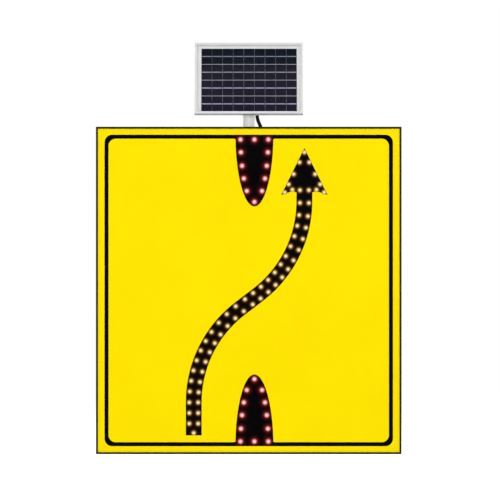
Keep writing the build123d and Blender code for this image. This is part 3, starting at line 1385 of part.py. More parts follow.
# Solar panel, on a plane that leans back; its local z is the panel's thickness
LEAN = radians(PANEL_TILT)
PANEL_NORMAL = Vector(0, -cos(LEAN), sin(LEAN))
PANEL_UP = Vector(0, sin(LEAN), cos(LEAN))
PANEL = Plane(origin=Vector(PIVOT) + PANEL_NORMAL * PIVOT_REACH, x_dir=(1, 0, 0), z_dir=PANEL_NORMAL)
LIP_W0 = PANEL_T - PANEL_WALL
GLASS_W0 = LIP_W0 - GLASS_T
RIBBON_W0 = GLASS_W0 - RIBBON_T
CELL_W0 = RIBBON_W0 - CELL_T
BACKSHEET_W0 = CELL_W0 - BACKSHEET_T
SEAT_W0 = BACKSHEET_W0 - PANEL_WALL
FLANGE_SCREW_X = (PANEL_W - PANEL_FLANGE) / 2
SCREW_V = 9
CROSSBAR_SCREWS = [(side * FLANGE_SCREW_X, level * SCREW_V) for side in (-1, 1) for level in (-1, 1)]


def panel_band(reach, depth, thickness):
    """A flange of the panel's frame: a flat ring of the given reach at a depth in the panel."""
    with BuildPart() as band:
        with BuildSketch(PANEL.offset(depth)):
            Rectangle(PANEL_W, PANEL_H)
            Rectangle(PANEL_W - 2 * reach, PANEL_H - 2 * reach, mode=Mode.SUBTRACT)
        extrude(amount=thickness)
    return band.part


with BuildPart() as panel_ring:
    add(panel_band(PANEL_WALL, 0, PANEL_T))
    add(panel_band(PANEL_LIP, LIP_W0, PANEL_WALL))
    add(panel_band(PANEL_LIP, SEAT_W0, PANEL_WALL))
    add(panel_band(PANEL_FLANGE, 0, PANEL_WALL))
    with BuildSketch(PANEL):
        with Locations(*CROSSBAR_SCREWS):
            Circle(M4_HOLE_R)
    extrude(amount=PANEL_WALL, mode=Mode.SUBTRACT)

PANEL_RIGHT = PANEL_W / 2
PANEL_TOP = PANEL_H / 2
with BuildPart() as panel_frame_rails:
    add(panel_ring.part)
    with BuildSketch(PANEL):
        for side in (-1, 1):
            Polygon(
                (-PANEL_RIGHT, side * PANEL_TOP),
                (PANEL_RIGHT, side * PANEL_TOP),
                (PANEL_RIGHT - PANEL_MITRE, side * (PANEL_TOP - PANEL_MITRE)),
                (PANEL_MITRE - PANEL_RIGHT, side * (PANEL_TOP - PANEL_MITRE)),
                align=None,
            )
    extrude(amount=PANEL_T, mode=Mode.INTERSECT)
panel_frame_rails.part.label = "panel_frame_rails"
export_step(panel_frame_rails.part, "parts/panel_frame_rails.step")

with BuildPart() as panel_frame_stiles:
    add(panel_ring.part)
    with BuildSketch(PANEL):
        for side in (-1, 1):
            Polygon(
                (side * PANEL_RIGHT, -PANEL_TOP),
                (side * PANEL_RIGHT, PANEL_TOP),
                (side * (PANEL_RIGHT - PANEL_MITRE), PANEL_TOP - PANEL_MITRE),
                (side * (PANEL_RIGHT - PANEL_MITRE), PANEL_MITRE - PANEL_TOP),
                align=None,
            )
    extrude(amount=PANEL_T, mode=Mode.INTERSECT)
panel_frame_stiles.part.label = "panel_frame_stiles"
export_step(panel_frame_stiles.part, "parts/panel_frame_stiles.step")

LAMINATE_W = PANEL_W - 2 * (PANEL_WALL + SLIP)
LAMINATE_H = PANEL_H - 2 * (PANEL_WALL + SLIP)
with BuildPart() as panel_glass:
    with BuildSketch(PANEL.offset(GLASS_W0)):
        Rectangle(LAMINATE_W, LAMINATE_H)
    extrude(amount=GLASS_T)
panel_glass.part.label = "panel_glass"
export_step(panel_glass.part, "parts/panel_glass.step")

with BuildPart() as solar_cells:
    with BuildSketch(PANEL.offset(CELL_W0)):
        with Locations(CELL_SHIFT):
            with GridLocations(CELL_PITCH[0], CELL_PITCH[1], CELL_COLUMNS, CELL_ROWS):
                Rectangle(CELL_PITCH[0] - CELL_GAP[0], CELL_PITCH[1] - CELL_GAP[1])
    extrude(amount=CELL_T)
solar_cells.part.label = "solar_cells"
export_step(solar_cells.part, "parts/solar_cells.step")

with BuildPart() as cell_ribbons:
    with BuildSketch(PANEL.offset(RIBBON_W0)):
        with Locations(CELL_SHIFT):
            with GridLocations(CELL_PITCH[0], CELL_PITCH[1], CELL_COLUMNS, CELL_ROWS):
                Rectangle(RIBBON[0], RIBBON[1])
    extrude(amount=RIBBON_T)
cell_ribbons.part.label = "cell_ribbons"
export_step(cell_ribbons.part, "parts/cell_ribbons.step")

with BuildPart() as panel_backsheet:
    with BuildSketch(PANEL.offset(BACKSHEET_W0)):
        Rectangle(LAMINATE_W, LAMINATE_H)
    extrude(amount=BACKSHEET_T)
panel_backsheet.part.label = "panel_backsheet"
export_step(panel_backsheet.part, "parts/panel_backsheet.step")

# Crossbar behind the panel, with the two lugs that the tilt bolt goes through
LUG_PLANE = Plane(origin=PIVOT, x_dir=PANEL_UP, z_dir=(1, 0, 0))
with BuildPart() as panel_crossbar:
    with BuildSketch(LUG_PLANE.offset(LUG_INNER)):
        Circle(EYE_R)
        Rectangle(2 * EYE_R, PIVOT_REACH - CROSSBAR_T, align=(Align.CENTER, Align.MIN))
        Circle(M8_R + RUN_FIT, mode=Mode.SUBTRACT)
    extrude(amount=LUG_T)
    mirror(about=Plane.YZ)
    with BuildSketch(PANEL):
        Rectangle(PANEL_W - 2 * CROSSBAR_INSET, CROSSBAR_H)
        with Locations(*CROSSBAR_SCREWS):
            Circle(M4_HOLE_R, mode=Mode.SUBTRACT)
    extrude(amount=-CROSSBAR_T)
panel_crossbar.part.label = "panel_crossbar"
export_step(panel_crossbar.part, "parts/panel_crossbar.step")

with BuildPart() as crossbar_screws:
    add(pan_heads(CROSSBAR_SCREWS, PANEL.offset(-CROSSBAR_T - PAN_H), PAN_R, PAN_H, KEY_DEPTH))
    with BuildSketch(PANEL.offset(-CROSSBAR_T)):
        with Locations(*CROSSBAR_SCREWS):
            Circle(M4_R)
    extrude(amount=CROSSBAR_SCREW_L)
crossbar_screws.part.label = "crossbar_screws"
export_step(crossbar_screws.part, "parts/crossbar_screws.step")

# Junction box on the backsheet, with its lid and gland
JUNCTION_W, JUNCTION_H, JUNCTION_D = JUNCTION
JUNCTION_REAR = BACKSHEET_W0 - JUNCTION_D
LID_T = 3
LID_OVER = 1
LID_ROUND = 1.2
JUNCTION_R = 4
JUNCTION_INNER_R = 2
with BuildPart() as junction_box:
    with BuildSketch(PANEL.offset(JUNCTION_REAR)):
        with Locations((0, JUNCTION_V)):
            RectangleRounded(JUNCTION_W, JUNCTION_H, JUNCTION_R)
    extrude(amount=JUNCTION_D)
    with BuildSketch(PANEL.offset(JUNCTION_REAR)):
        with Locations((0, JUNCTION_V)):
            inset = 2 * JUNCTION_WALL
            RectangleRounded(JUNCTION_W - inset, JUNCTION_H - inset, JUNCTION_INNER_R)
    extrude(amount=JUNCTION_D - JUNCTION_WALL, mode=Mode.SUBTRACT)
junction_box.part.label = "junction_box"
export_step(junction_box.part, "parts/junction_box.step")

with BuildPart() as junction_lid:
    with BuildSketch(PANEL.offset(JUNCTION_REAR - LID_T)):
        with Locations((0, JUNCTION_V)):
            RectangleRounded(JUNCTION_W + 2 * LID_OVER, JUNCTION_H + 2 * LID_OVER, JUNCTION_R + LID_OVER)
    extrude(amount=LID_T)
    fillet(junction_lid.faces().sort_by(Axis(PANEL.origin, PANEL_NORMAL))[0].edges(), LID_ROUND)
junction_lid.part.label = "junction_lid"
export_step(junction_lid.part, "parts/junction_lid.step")

GLAND_TOP_V = JUNCTION_V - JUNCTION_H / 2
GLAND_AXIS = Plane(
    origin=PANEL.from_local_coords((JUNCTION_GLAND[0], GLAND_TOP_V, JUNCTION_GLAND[1])),
    x_dir=(1, 0, 0),
    z_dir=PANEL_UP * -1,
)
with BuildPart() as junction_gland:
    with BuildSketch(GLAND_AXIS):
        RegularPolygon(JUNCTION_GLAND_HEX[0] / 2, 6, major_radius=False)
    extrude(amount=JUNCTION_GLAND_HEX[1])
    with BuildSketch(GLAND_AXIS):
        Circle(JUNCTION_GLAND_R)
    extrude(amount=JUNCTION_GLAND_L)
    rims = junction_gland.edges().filter_by(GeomType.CIRCLE)
    fillet(rims.sort_by(Axis(GLAND_AXIS.origin, PANEL_UP))[0], JUNCTION_GLAND_ROUND)
junction_gland.part.label = "junction_gland"
export_step(junction_gland.part, "parts/junction_gland.step")

# Solar lead in two stretches, which meet in the clip on the swivel head
EXIT_POINT = PANEL.from_local_coords(
    (JUNCTION_GLAND[0], GLAND_TOP_V - JUNCTION_GLAND_L, JUNCTION_GLAND[1])
)
EXIT_RUN = 16
AFTER_EXIT = EXIT_POINT - PANEL_UP * EXIT_RUN
HEADING = Vector(CLIP_EXIT) - Vector(CLIP_POINT)
CLIP_LEAD_IN = 0.83
BEFORE_CLIP = Vector(CLIP_POINT) - HEADING * CLIP_LEAD_IN
UPPER_ROUTE = (
    EXIT_POINT,
    AFTER_EXIT,
    (20.6, -73.6, 471),
    BEFORE_CLIP,
    CLIP_POINT,
)
LOWER_ROUTE = (
    CLIP_POINT,
    CLIP_EXIT,
    (18.6, -40.5, 403),
    (28.6, -25, 381.5),
    (37.5, -8.5, 361),
    (47.5, 4.5, 338.5),
    (55.5, 9.5, 315),
    (60.8, 6.5, 293.5),
    (63.4, -4, 277),
    (GLAND_X, -18.5, 266.2),
    (GLAND_X, -34.5, GLAND_Z),
    (GLAND_X, GLAND_MOUTH, GLAND_Z),
)
with BuildPart() as solar_lead_upper:
    add(lead_tube(UPPER_ROUTE, SOLAR_LEAD_D))
solar_lead_upper.part.label = "solar_lead_upper"
export_step(solar_lead_upper.part, "parts/solar_lead_upper.step")

with BuildPart() as solar_lead_lower:
    add(lead_tube(LOWER_ROUTE, SOLAR_LEAD_D))
solar_lead_lower.part.label = "solar_lead_lower"
export_step(solar_lead_lower.part, "parts/solar_lead_lower.step")

# Clip on the swivel head: a ring round the lead with a foot on the collar
CLIP_W = 9
CLIP_PLAY = 0.15
CLIP_R = SOLAR_LEAD_D / 2 + CLIP_PLAY
CLIP_T = 1.6
CLIP_FOOT = (11, 6)
CLIP_PLANE = Plane(origin=CLIP_POINT, x_dir=(1, 0, 0), z_dir=HEADING)
with BuildPart() as cable_clip:
    with BuildSketch(Plane.XY.offset(CLIP_POINT[2] - CLIP_W / 2)):
        with Locations((CLIP_POINT[0], CLIP_POINT[1])):
            Rectangle(CLIP_FOOT[0], CLIP_FOOT[1], align=(Align.MAX, Align.CENTER))
    extrude(amount=CLIP_W)
    with BuildSketch(CLIP_PLANE.offset(-CLIP_W / 2)):
        Circle(CLIP_R + CLIP_T)
    extrude(amount=CLIP_W)
    with BuildSketch(CLIP_PLANE):
        Circle(CLIP_R)
    extrude(amount=CLIP_W, both=True, mode=Mode.SUBTRACT)
    with BuildSketch(Plane.XY.offset(HEAD_BOTTOM)):
        with Locations((0, MAST_Y)):
            Circle(HEAD_R)
    extrude(amount=HEAD_TOP - HEAD_BOTTOM, mode=Mode.SUBTRACT)
cable_clip.part.label = "cable_clip"
export_step(cable_clip.part, "parts/cable_clip.step")
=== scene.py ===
import json
from math import cos, radians, sin, tau

import bmesh
import bpy
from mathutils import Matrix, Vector
from mathutils.bvhtree import BVHTree
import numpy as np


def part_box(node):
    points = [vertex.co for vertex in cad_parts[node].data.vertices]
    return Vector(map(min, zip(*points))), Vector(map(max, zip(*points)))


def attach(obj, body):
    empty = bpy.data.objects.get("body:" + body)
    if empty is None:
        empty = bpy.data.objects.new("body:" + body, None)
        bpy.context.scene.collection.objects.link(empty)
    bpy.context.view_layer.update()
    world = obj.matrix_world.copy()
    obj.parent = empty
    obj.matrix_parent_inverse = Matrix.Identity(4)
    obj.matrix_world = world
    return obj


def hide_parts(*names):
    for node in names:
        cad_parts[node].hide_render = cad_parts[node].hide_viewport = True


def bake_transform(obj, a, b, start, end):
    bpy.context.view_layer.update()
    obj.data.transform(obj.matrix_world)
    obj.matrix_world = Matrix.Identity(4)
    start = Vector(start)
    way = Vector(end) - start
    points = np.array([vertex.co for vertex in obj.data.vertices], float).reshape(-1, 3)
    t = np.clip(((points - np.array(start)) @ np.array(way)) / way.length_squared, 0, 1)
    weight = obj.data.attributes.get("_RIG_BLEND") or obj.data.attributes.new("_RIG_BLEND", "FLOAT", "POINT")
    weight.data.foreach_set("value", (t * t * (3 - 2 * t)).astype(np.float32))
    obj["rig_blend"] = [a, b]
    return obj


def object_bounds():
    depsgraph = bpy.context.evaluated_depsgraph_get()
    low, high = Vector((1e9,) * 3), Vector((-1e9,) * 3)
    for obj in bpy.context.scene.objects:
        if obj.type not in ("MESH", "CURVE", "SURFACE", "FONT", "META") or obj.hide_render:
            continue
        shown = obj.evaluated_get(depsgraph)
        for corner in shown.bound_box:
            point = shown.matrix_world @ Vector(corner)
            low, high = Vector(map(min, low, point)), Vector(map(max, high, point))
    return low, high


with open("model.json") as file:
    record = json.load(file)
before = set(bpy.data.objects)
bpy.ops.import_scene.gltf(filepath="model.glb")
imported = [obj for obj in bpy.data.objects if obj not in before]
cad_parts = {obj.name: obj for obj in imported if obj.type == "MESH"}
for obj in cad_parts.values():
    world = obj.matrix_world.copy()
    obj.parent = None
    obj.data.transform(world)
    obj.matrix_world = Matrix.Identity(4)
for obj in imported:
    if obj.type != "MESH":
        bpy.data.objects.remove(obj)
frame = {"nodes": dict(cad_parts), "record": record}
cad_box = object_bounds()
nodes = frame["nodes"]
scene = bpy.context.scene

# Camera: level and square to the face
CAMERA_DISTANCE = 4.294
CAMERA_X = 0.0029
CAMERA_Z = 0.0927
CAMERA_LENS = 135
CAMERA_SENSOR = 36

# Studio: each lamp has a name, a place, a width and a power
FLOOR_DROP = 0.42
FLOOR_SIZE = 30
FLOOR_COLOUR = (0.86, 0.86, 0.86, 1)
FLOOR_LIFT = 0.68
AMBIENT = 0.38
SEEN_WHITE = 1.0
LAMPS = (
    ("front_lamp", (0.1, -5.2, 0.48), 1.8, 111),
    ("key_lamp", (-2.2, -3.8, 2.9), 2.4, 26),
    ("fill_lamp", (3.2, -3.6, 0.9), 2.6, 16),
    ("rear_lamp", (-2.2, 3.8, 2.4), 2.6, 105),
    ("rear_fill_lamp", (3.2, 3.4, 1.0), 3.0, 60),
)

# Solar lead, in metres: its two stretches meet in the clip on the swivel head
SOLAR_LEAD_D = 0.0084
UPPER_ROUTE = (
    (0.0200, -0.0712, 0.5028),
    (0.0200, -0.0740, 0.4870),
    (0.0206, -0.0736, 0.4710),
    (0.0214, -0.0703, 0.4560),
    (0.0212, -0.0628, 0.4406),
)
LOWER_ROUTE = (
    (0.0212, -0.0628, 0.4406),
    (0.0210, -0.0538, 0.4221),
    (0.0186, -0.0405, 0.4030),
    (0.0286, -0.0250, 0.3815),
    (0.0375, -0.0085, 0.3610),
    (0.0475, 0.0045, 0.3385),
    (0.0555, 0.0095, 0.3150),
    (0.0608, 0.0065, 0.2935),
    (0.0634, -0.0040, 0.2770),
    (0.0640, -0.0185, 0.2662),
    (0.0640, -0.0345, 0.2615),
    (0.0640, -0.0500, 0.2615),
)
TUBE_SIDES = 20
TUBE_SPLINE_STEPS = 12

# Where each stretch starts and stops bending as the panel turns or tilts
UPPER_BEND = ((0.0212, -0.0703, 0.4465), (0.0200, -0.0703, 0.4960))
LOWER_BEND = ((0.045, -0.02, 0.295), (0.045, -0.02, 0.428))

# Lamp collars on the films, in metres
RED_LENS_R = 0.0056
RED_COLLAR_R = 0.0155
AMBER_LENS_R = 0.0050
AMBER_COLLAR_R = 0.0120
COLLAR_H = 0.0005
COLLAR_CURVE = 1.5
COLLAR_STEP = 0.0004
COLLAR_RINGS = 9
COLLAR_SIDES = 32
WELD = 0.00001

# The way that the face looks, the way into it, and a place before it
FORWARD = (0, -1, 0)
BACKWARD = (0, 1, 0)
BEFORE_FACE_Y = -1.0

# Stretches of a pattern: along a brushed metal's lines, down a painted wall, through a thin cell
ALONG_X = (0.02, 1, 1)
ALONG_Z = (1, 1, 0.02)
ALL_WAYS = (1, 1, 1)
DOWN_WALLS = (1, 1, 0.35)
THROUGH_CELLS = (1, 0.3, 1)

# Patterns, in cells or lines to the metre
SPANGLES = 170
PRISM_CELLS = 210
BOARD_TRACKS = 260
SILICON_FLAKES = 170
SILVER_FINGERS = 520
FINGER_SHARE = 0.07

# Settings that all finishes share, and the colour sockets of a mix node by number
NOISE_ROUGHNESS = 0.55
BEVEL_SAMPLES = 4
EDGE_GAIN = 4.0
MIX_FIRST = 6
MIX_SECOND = 7
MIX_RESULT = 2

# Colours of films, dust and metal
YELLOW_SEAM = (0.93, 0.70, 0.0003)
YELLOW_LOW = (0.955, 0.745, 0.0003)
YELLOW_HIGH = (0.985, 0.778, 0.0004)
PANEL_FRAME = (0.62, 0.62, 0.61)
ZINC_BLOOM = (0.55, 0.56, 0.56)
PALE_DUST = (0.12, 0.115, 0.105)
BOARD_MASK = (0.012, 0.085, 0.035)
BOARD_TRACE = (0.03, 0.17, 0.07)
FINGER_SILVER = (0.022, 0.022, 0.028)

# Painted shade by height on the panel, darker towards its top, from the foot of the cells at 0 to their top
# at 1
CELL_SHADE_BY_HEIGHT = (
    (0.00, (0.0152, 0.0124, 0.0317)),
    (0.68, (0.0184, 0.0182, 0.0335)),
    (0.80, (0.0072, 0.0113, 0.0210)),
    (1.00, (0.0042, 0.0098, 0.0175)),
)
RIBBON_SHADE_BY_HEIGHT = (
    (0.12, (0.475, 0.465, 0.600)),
    (0.40, (0.515, 0.475, 0.610)),
    (0.63, (0.330, 0.330, 0.395)),
    (0.87, (0.240, 0.275, 0.335)),
)

# Light of the lenses, from where they look sideways at 0 to where they look forward at 1
HOT_RED = (
    (0.00, (0.33, 0.075, 0.082)),
    (0.50, (0.46, 0.14, 0.15)),
    (0.67, (0.58, 0.20, 0.21)),
    (0.90, (0.84, 0.38, 0.40)),
    (0.99, (1.0, 0.56, 0.58)),
    (1.00, (1.0, 0.69, 0.71)),
)
HOT_AMBER = (
    (0.00, (0.25, 0.155, 0.055)),
    (0.44, (0.31, 0.20, 0.075)),
    (0.80, (0.58, 0.40, 0.19)),
    (0.95, (0.86, 0.64, 0.34)),
    (0.99, (0.97, 0.76, 0.43)),
    (1.00, (1.0, 0.84, 0.50)),
)

# Painted glow of the lamps' light on the collars, from their rim at 0 to the lens at 1
RED_PAINTED_GLOW = (
    (0.00, (0.003, 0.0, 0.0)),
    (0.18, (0.008, 0.0, 0.0)),
    (0.41, (0.028, 0.0, 0.0005)),
    (0.64, (0.066, 0.0020, 0.0020)),
    (0.76, (0.102, 0.0050, 0.0055)),
    (0.87, (0.175, 0.020, 0.022)),
    (1.00, (0.33, 0.066, 0.072)),
)
AMBER_PAINTED_GLOW = (
    (0.00, (0.003, 0.0003, 0.0)),
    (0.24, (0.007, 0.001, 0.0)),
    (0.41, (0.014, 0.004, 0.0005)),
    (0.57, (0.030, 0.011, 0.002)),
    (0.73, (0.067, 0.030, 0.005)),
    (0.90, (0.155, 0.088, 0.023)),
    (1.00, (0.24, 0.15, 0.05)),
)


class Shader:
    """One material's node tree, with short calls that add nodes and join their sockets."""

    def __init__(self, name, **values):
        self.material = bpy.data.materials.new(name)
        self.material.use_nodes = True
        self.tree = self.material.node_tree
        self.surface = self.tree.nodes["Principled BSDF"]
        self.set(**values)

    def put(self, socket, value):
        """Gives an input a plain value, or joins it to another node's output."""
        if isinstance(value, bpy.types.NodeSocket):
            self.tree.links.new(value, socket)
        else:
            socket.default_value = value

    def set(self, **values):
        """Sets inputs of the main shader and returns the material."""
        for socket, value in values.items():
            self.put(self.surface.inputs[socket.replace("_", " ")], value)
        return self.material

    def add(self, kind, inputs=None, **settings):
        """Adds a node, sets its properties, then its inputs by name or number."""
        node = self.tree.nodes.new(kind)
        for key, value in settings.items():
            setattr(node, key, value)
        for key, value in (inputs or {}).items():
            self.put(node.inputs[key], value)
        return node

    def place(self, scale=(1, 1, 1), rotation=(0, 0, 0)):
        """Object coordinates in metres, stretched by scale and turned by rotation."""
        where = self.add("ShaderNodeTexCoord").outputs["Object"]
        inputs = {"Vector": where, "Scale": scale, "Rotation": rotation}
        return self.add("ShaderNodeMapping", inputs).outputs["Vector"]

    def axis(self, letter, scale=1):
        """Place along one axis, in metres times the scale."""
        where = self.place((scale, scale, scale))
        return self.add("ShaderNodeSeparateXYZ", {"Vector": where}).outputs[letter]

    def noise(self, size, detail=4.0, vector=None):
        """Noise whose blotches are about size metres across."""
        inputs = {"Scale": 1 / size, "Detail": detail, "Roughness": NOISE_ROUGHNESS}
        inputs["Vector"] = vector or self.place()
        return self.add("ShaderNodeTexNoise", inputs).outputs[0]

    def cells(self, per_metre, vector=None, randomness=1.0, **settings):
        """Outputs of a pattern with so many cells to the metre."""
        inputs = {"Scale": per_metre, "Randomness": randomness}
        inputs["Vector"] = vector or self.place()
        return self.add("ShaderNodeTexVoronoi", inputs, **settings).outputs

    def grey(self, colour):
        """Brightness of a colour."""
        return self.add("ShaderNodeRGBToBW", {"Color": colour}).outputs[0]

    def ramp(self, factor, *stops):
        """Colour ramp through (position, colour) stops; a colour may be a single grey."""
        node = self.add("ShaderNodeValToRGB", {"Fac": factor})
        elements = node.color_ramp.elements
        while len(elements) < len(stops):
            elements.new(0.5)
        for element, (position, colour) in zip(elements, stops):
            element.position = position
            grey = isinstance(colour, (int, float))
            element.color = (colour, colour, colour, 1) if grey else (*colour, 1)
        return node.outputs["Color"]

    def vary(self, factor, low, high, span=(0.3, 0.7)):
        """Goes from one shade to another while the factor crosses the span."""
        return self.ramp(factor, (span[0], low), (span[1], high))

    def math(self, operation, first, second, clamp=False):
        """One sum on two numbers."""
        node = self.add("ShaderNodeMath", {0: first, 1: second}, operation=operation, use_clamp=clamp)
        return node.outputs[0]

    def dot(self, first, second):
        """Dot product of two vectors."""
        node = self.add("ShaderNodeVectorMath", {0: first, 1: second}, operation="DOT_PRODUCT")
        return node.outputs["Value"]

    def normal(self):
        """The surface's own normal."""
        return self.add("ShaderNodeNewGeometry").outputs["Normal"]

    def mix(self, factor, first, second, blend="MIX"):
        """Mix of two colours."""
        node = self.add("ShaderNodeMix", {0: factor}, data_type="RGBA", blend_type=blend)
        for socket, value in ((MIX_FIRST, first), (MIX_SECOND, second)):
            plain = isinstance(value, tuple) and len(value) == 3
            self.put(node.inputs[socket], (*value, 1) if plain else value)
        return node.outputs[MIX_RESULT]

    def multiply(self, first, second):
        """Product of two colours."""
        return self.mix(1.0, first, second, blend="MULTIPLY")

    def bump(self, height, depth, strength=1.0, normal=None):
        """Normal of a relief of so many metres' depth, laid over another normal."""
        inputs = {"Height": height, "Distance": depth, "Strength": strength}
        if normal:
            inputs["Normal"] = normal
        return self.add("ShaderNodeBump", inputs).outputs[0]

    def round_edges(self, radius):
        """Normal that looks as if the edges were rounded to the radius."""
        return self.add("ShaderNodeBevel", {"Radius": radius}, samples=BEVEL_SAMPLES).outputs[0]

    def edge_mask(self, radius):
        """Near 1 along sharp edges and 0 on flat faces."""
        share = self.math("SUBTRACT", 1.0, self.dot(self.round_edges(radius), self.normal()))
        return self.math("MULTIPLY", share, EDGE_GAIN, clamp=True)


def scaled(colour, factor):
    """The colour made darker or lighter by a factor, and no brighter than white."""
    return tuple(min(1.0, channel * factor) for channel in colour)


def shades(colour, low, high):
    """The colour made darker and lighter by two factors."""
    return scaled(colour, low), scaled(colour, high)


# Finishes: sizes of marks, depths of relief and radii of edges in metres
def powder_coat(name, colour, roughness=0.45, wear=None, shine=0.4, grime=(0.82, 1.12), peel=0.00006):
    """Powder-coated metal: orange-peel skin, faint grime, and edges rubbed a little paler."""
    edge = 0.0008
    look = Shader(name, Specular_IOR_Level=shine)
    streaks = look.noise(size=0.09, detail=6, vector=look.place(DOWN_WALLS))
    body = look.vary(streaks, *shades(colour, *grime))
    rubbed = wear or tuple(min(1.0, channel * 1.8 + 0.03) for channel in colour)
    patchy = look.math("MULTIPLY", look.edge_mask(edge), look.noise(size=0.012), clamp=True)
    look.set(Base_Color=look.mix(patchy, body, rubbed))
    look.set(Roughness=look.vary(look.noise(size=0.03), roughness - 0.05, roughness + 0.05))
    skin = look.noise(size=0.0011, detail=2)
    return look.set(Normal=look.bump(skin, depth=peel, normal=look.round_edges(edge)))


def galvanised(name, colour):
    """Hot-dip zinc: spangles that differ in grey and gloss, with white bloom."""
    look = Shader(name, Metallic=0.7)
    spangle = look.grey(look.cells(SPANGLES)["Color"])
    body = look.vary(spangle, *shades(colour, 0.9, 1.1), span=(0.2, 0.8))
    bloom = look.vary(look.noise(size=0.05, detail=8), 0.0, 0.25, span=(0.55, 0.8))
    look.set(Base_Color=look.mix(bloom, body, ZINC_BLOOM))
    look.set(Roughness=look.vary(spangle, 0.38, 0.5, span=(0.1, 0.9)))
    dross = look.noise(size=0.004)
    return look.set(Normal=look.bump(dross, depth=0.00005, normal=look.round_edges(0.0008)))


def drawn_lines(look, stretch, roughness):
    """Gives a metal fine drawn lines, in its gloss and relief, and returns their pattern."""
    lines = look.noise(size=0.0012, detail=3, vector=look.place(stretch))
    look.set(Roughness=look.vary(lines, roughness - 0.07, roughness + 0.1, span=(0.25, 0.75)))
    look.set(Normal=look.bump(lines, depth=0.00003, normal=look.round_edges(0.0005)))
    return lines


def brushed(name, colour, stretch, roughness=0.32, metallic=1.0):
    """Metal with a fine grain, drawn out to lines where it is stretched, and dull smears."""
    look = Shader(name, Metallic=metallic)
    body = look.vary(drawn_lines(look, stretch, roughness), *shades(colour, 0.86, 1.1))
    smears = look.vary(look.noise(size=0.06, detail=5), 0.0, 0.25, span=(0.35, 0.75))
    return look.set(Base_Color=look.mix(smears, body, scaled(colour, 0.72)))


def panel_aluminium(name, stretch):
    """Pale anodised aluminium of the panel's frame, brushed along each bar."""
    return brushed(name, PANEL_FRAME, stretch, roughness=0.42, metallic=0.25)


def cast_metal(name, colour):
    """Sand-cast aluminium: grainy skin, darker in its pits."""
    look = Shader(name, Metallic=0.8)
    grain = look.noise(size=0.0016, detail=6)
    look.set(Base_Color=look.vary(grain, *shades(colour, 0.72, 1.12), span=(0.3, 0.65)))
    look.set(Roughness=look.vary(look.noise(size=0.02), 0.42, 0.6))
    return look.set(Normal=look.bump(grain, depth=0.00025, normal=look.round_edges(0.001)))


def moulded(name, colour, roughness):
    """Moulded plastic with a spark-eroded grain and faint scuffs."""
    look = Shader(name)
    look.set(Base_Color=look.vary(look.noise(size=0.03, detail=6), *shades(colour, 0.8, 1.25)))
    look.set(Roughness=look.vary(look.noise(size=0.01, detail=5), roughness - 0.08, roughness + 0.1))
    grain = look.noise(size=0.0009, detail=2)
    return look.set(Normal=look.bump(grain, depth=0.00006, normal=look.round_edges(0.0006)))


def rubber(name, colour, shine=0.3, bloom=0.2, relief=0.0001):
    """Rubber with small pores and a dusty bloom."""
    pore = 0.0012
    look = Shader(name, Specular_IOR_Level=shine, Roughness=0.62)
    dust = look.vary(look.noise(size=0.02, detail=7), 0.0, bloom, span=(0.5, 0.85))
    body = look.vary(look.noise(size=pore, detail=3), *shades(colour, 0.7, 1.5), span=(0.35, 0.65))
    look.set(Base_Color=look.mix(dust, body, PALE_DUST))
    return look.set(Normal=look.bump(look.noise(size=pore), depth=relief))


def yellow_sheeting():
    """Prismatic reflective film: raised diamond cells with sealed seams between them."""
    look = Shader("yellow_sheeting", Specular_IOR_Level=0.006, Roughness=0.4)
    turned = look.place(rotation=(0, radians(45), 0))
    flat = look.add("ShaderNodeVectorMath", {0: turned, 1: (1, 0, 1)}, operation="MULTIPLY").outputs[0]
    cells = look.cells(PRISM_CELLS, flat, randomness=0.0, feature="DISTANCE_TO_EDGE")["Distance"]
    inside = look.vary(cells, 0.0, 1.0, span=(0.02, 0.09))
    body = look.vary(look.noise(size=0.18, detail=3), YELLOW_LOW, YELLOW_HIGH)
    look.set(Base_Color=look.mix(inside, YELLOW_SEAM, body))
    return look.set(Normal=look.bump(cells, depth=0.0002, strength=0.25))


def black_film():
    """Matt black cut film with faint dust."""
    look = Shader("black_film", Specular_IOR_Level=0.012)
    look.set(Base_Color=look.vary(look.noise(size=0.05, detail=8), 0.0005, 0.0016, span=(0.4, 0.75)))
    look.set(Roughness=look.vary(look.noise(size=0.008), 0.5, 0.68))
    return look.set(Normal=look.bump(look.noise(size=0.0012), depth=0.00003))


def lit_lens(name, base, light):
    """Domed lens of a lit lamp: white-hot where it faces forward, coloured towards its rim."""
    look = Shader(name, Base_Color=(*base, 1), Roughness=0.2, Specular_IOR_Level=0.2)
    facing = look.dot(look.normal(), FORWARD)
    return look.set(Emission_Strength=1.0, Emission_Color=look.ramp(facing, *light))


def painted_glow_collar(name, light):
    """Ring on the film with the lamp's glow painted on as its own light, bright beside the lens and black at
    its rim.
    """
    look = Shader(name, Base_Color=(0.0006, 0.0005, 0.0005, 1), Roughness=0.6, Specular_IOR_Level=0.012)
    glow = look.add("ShaderNodeAttribute", attribute_name="glow").outputs["Fac"]
    grain = look.vary(look.noise(size=0.0016), 0.85, 1.0)
    # Painted glow: the collar itself emits the lamp's light that spreads over the film round the lens
    return look.set(Emission_Strength=1.0, Emission_Color=look.multiply(look.ramp(glow, *light), grain))


def circuit_board():
    """Green solder mask with paler traces."""
    look = Shader("board_green", Roughness=0.3)
    tracks = look.cells(BOARD_TRACKS, randomness=0.35, feature="DISTANCE_TO_EDGE", distance="MANHATTAN")
    line = look.vary(tracks["Distance"], 1.0, 0.0, span=(0.08, 0.14))
    look.set(Base_Color=look.mix(line, BOARD_MASK, BOARD_TRACE))
    return look.set(Normal=look.bump(line, depth=0.00004))


def cell_level(look):
    """Height within the field of cells, from 0 at its foot to 1 at its top."""
    low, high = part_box("solar_cells")
    inputs = {"Value": look.axis("Z"), "From Min": low.z, "From Max": high.z}
    return look.add("ShaderNodeMapRange", inputs).outputs[0]


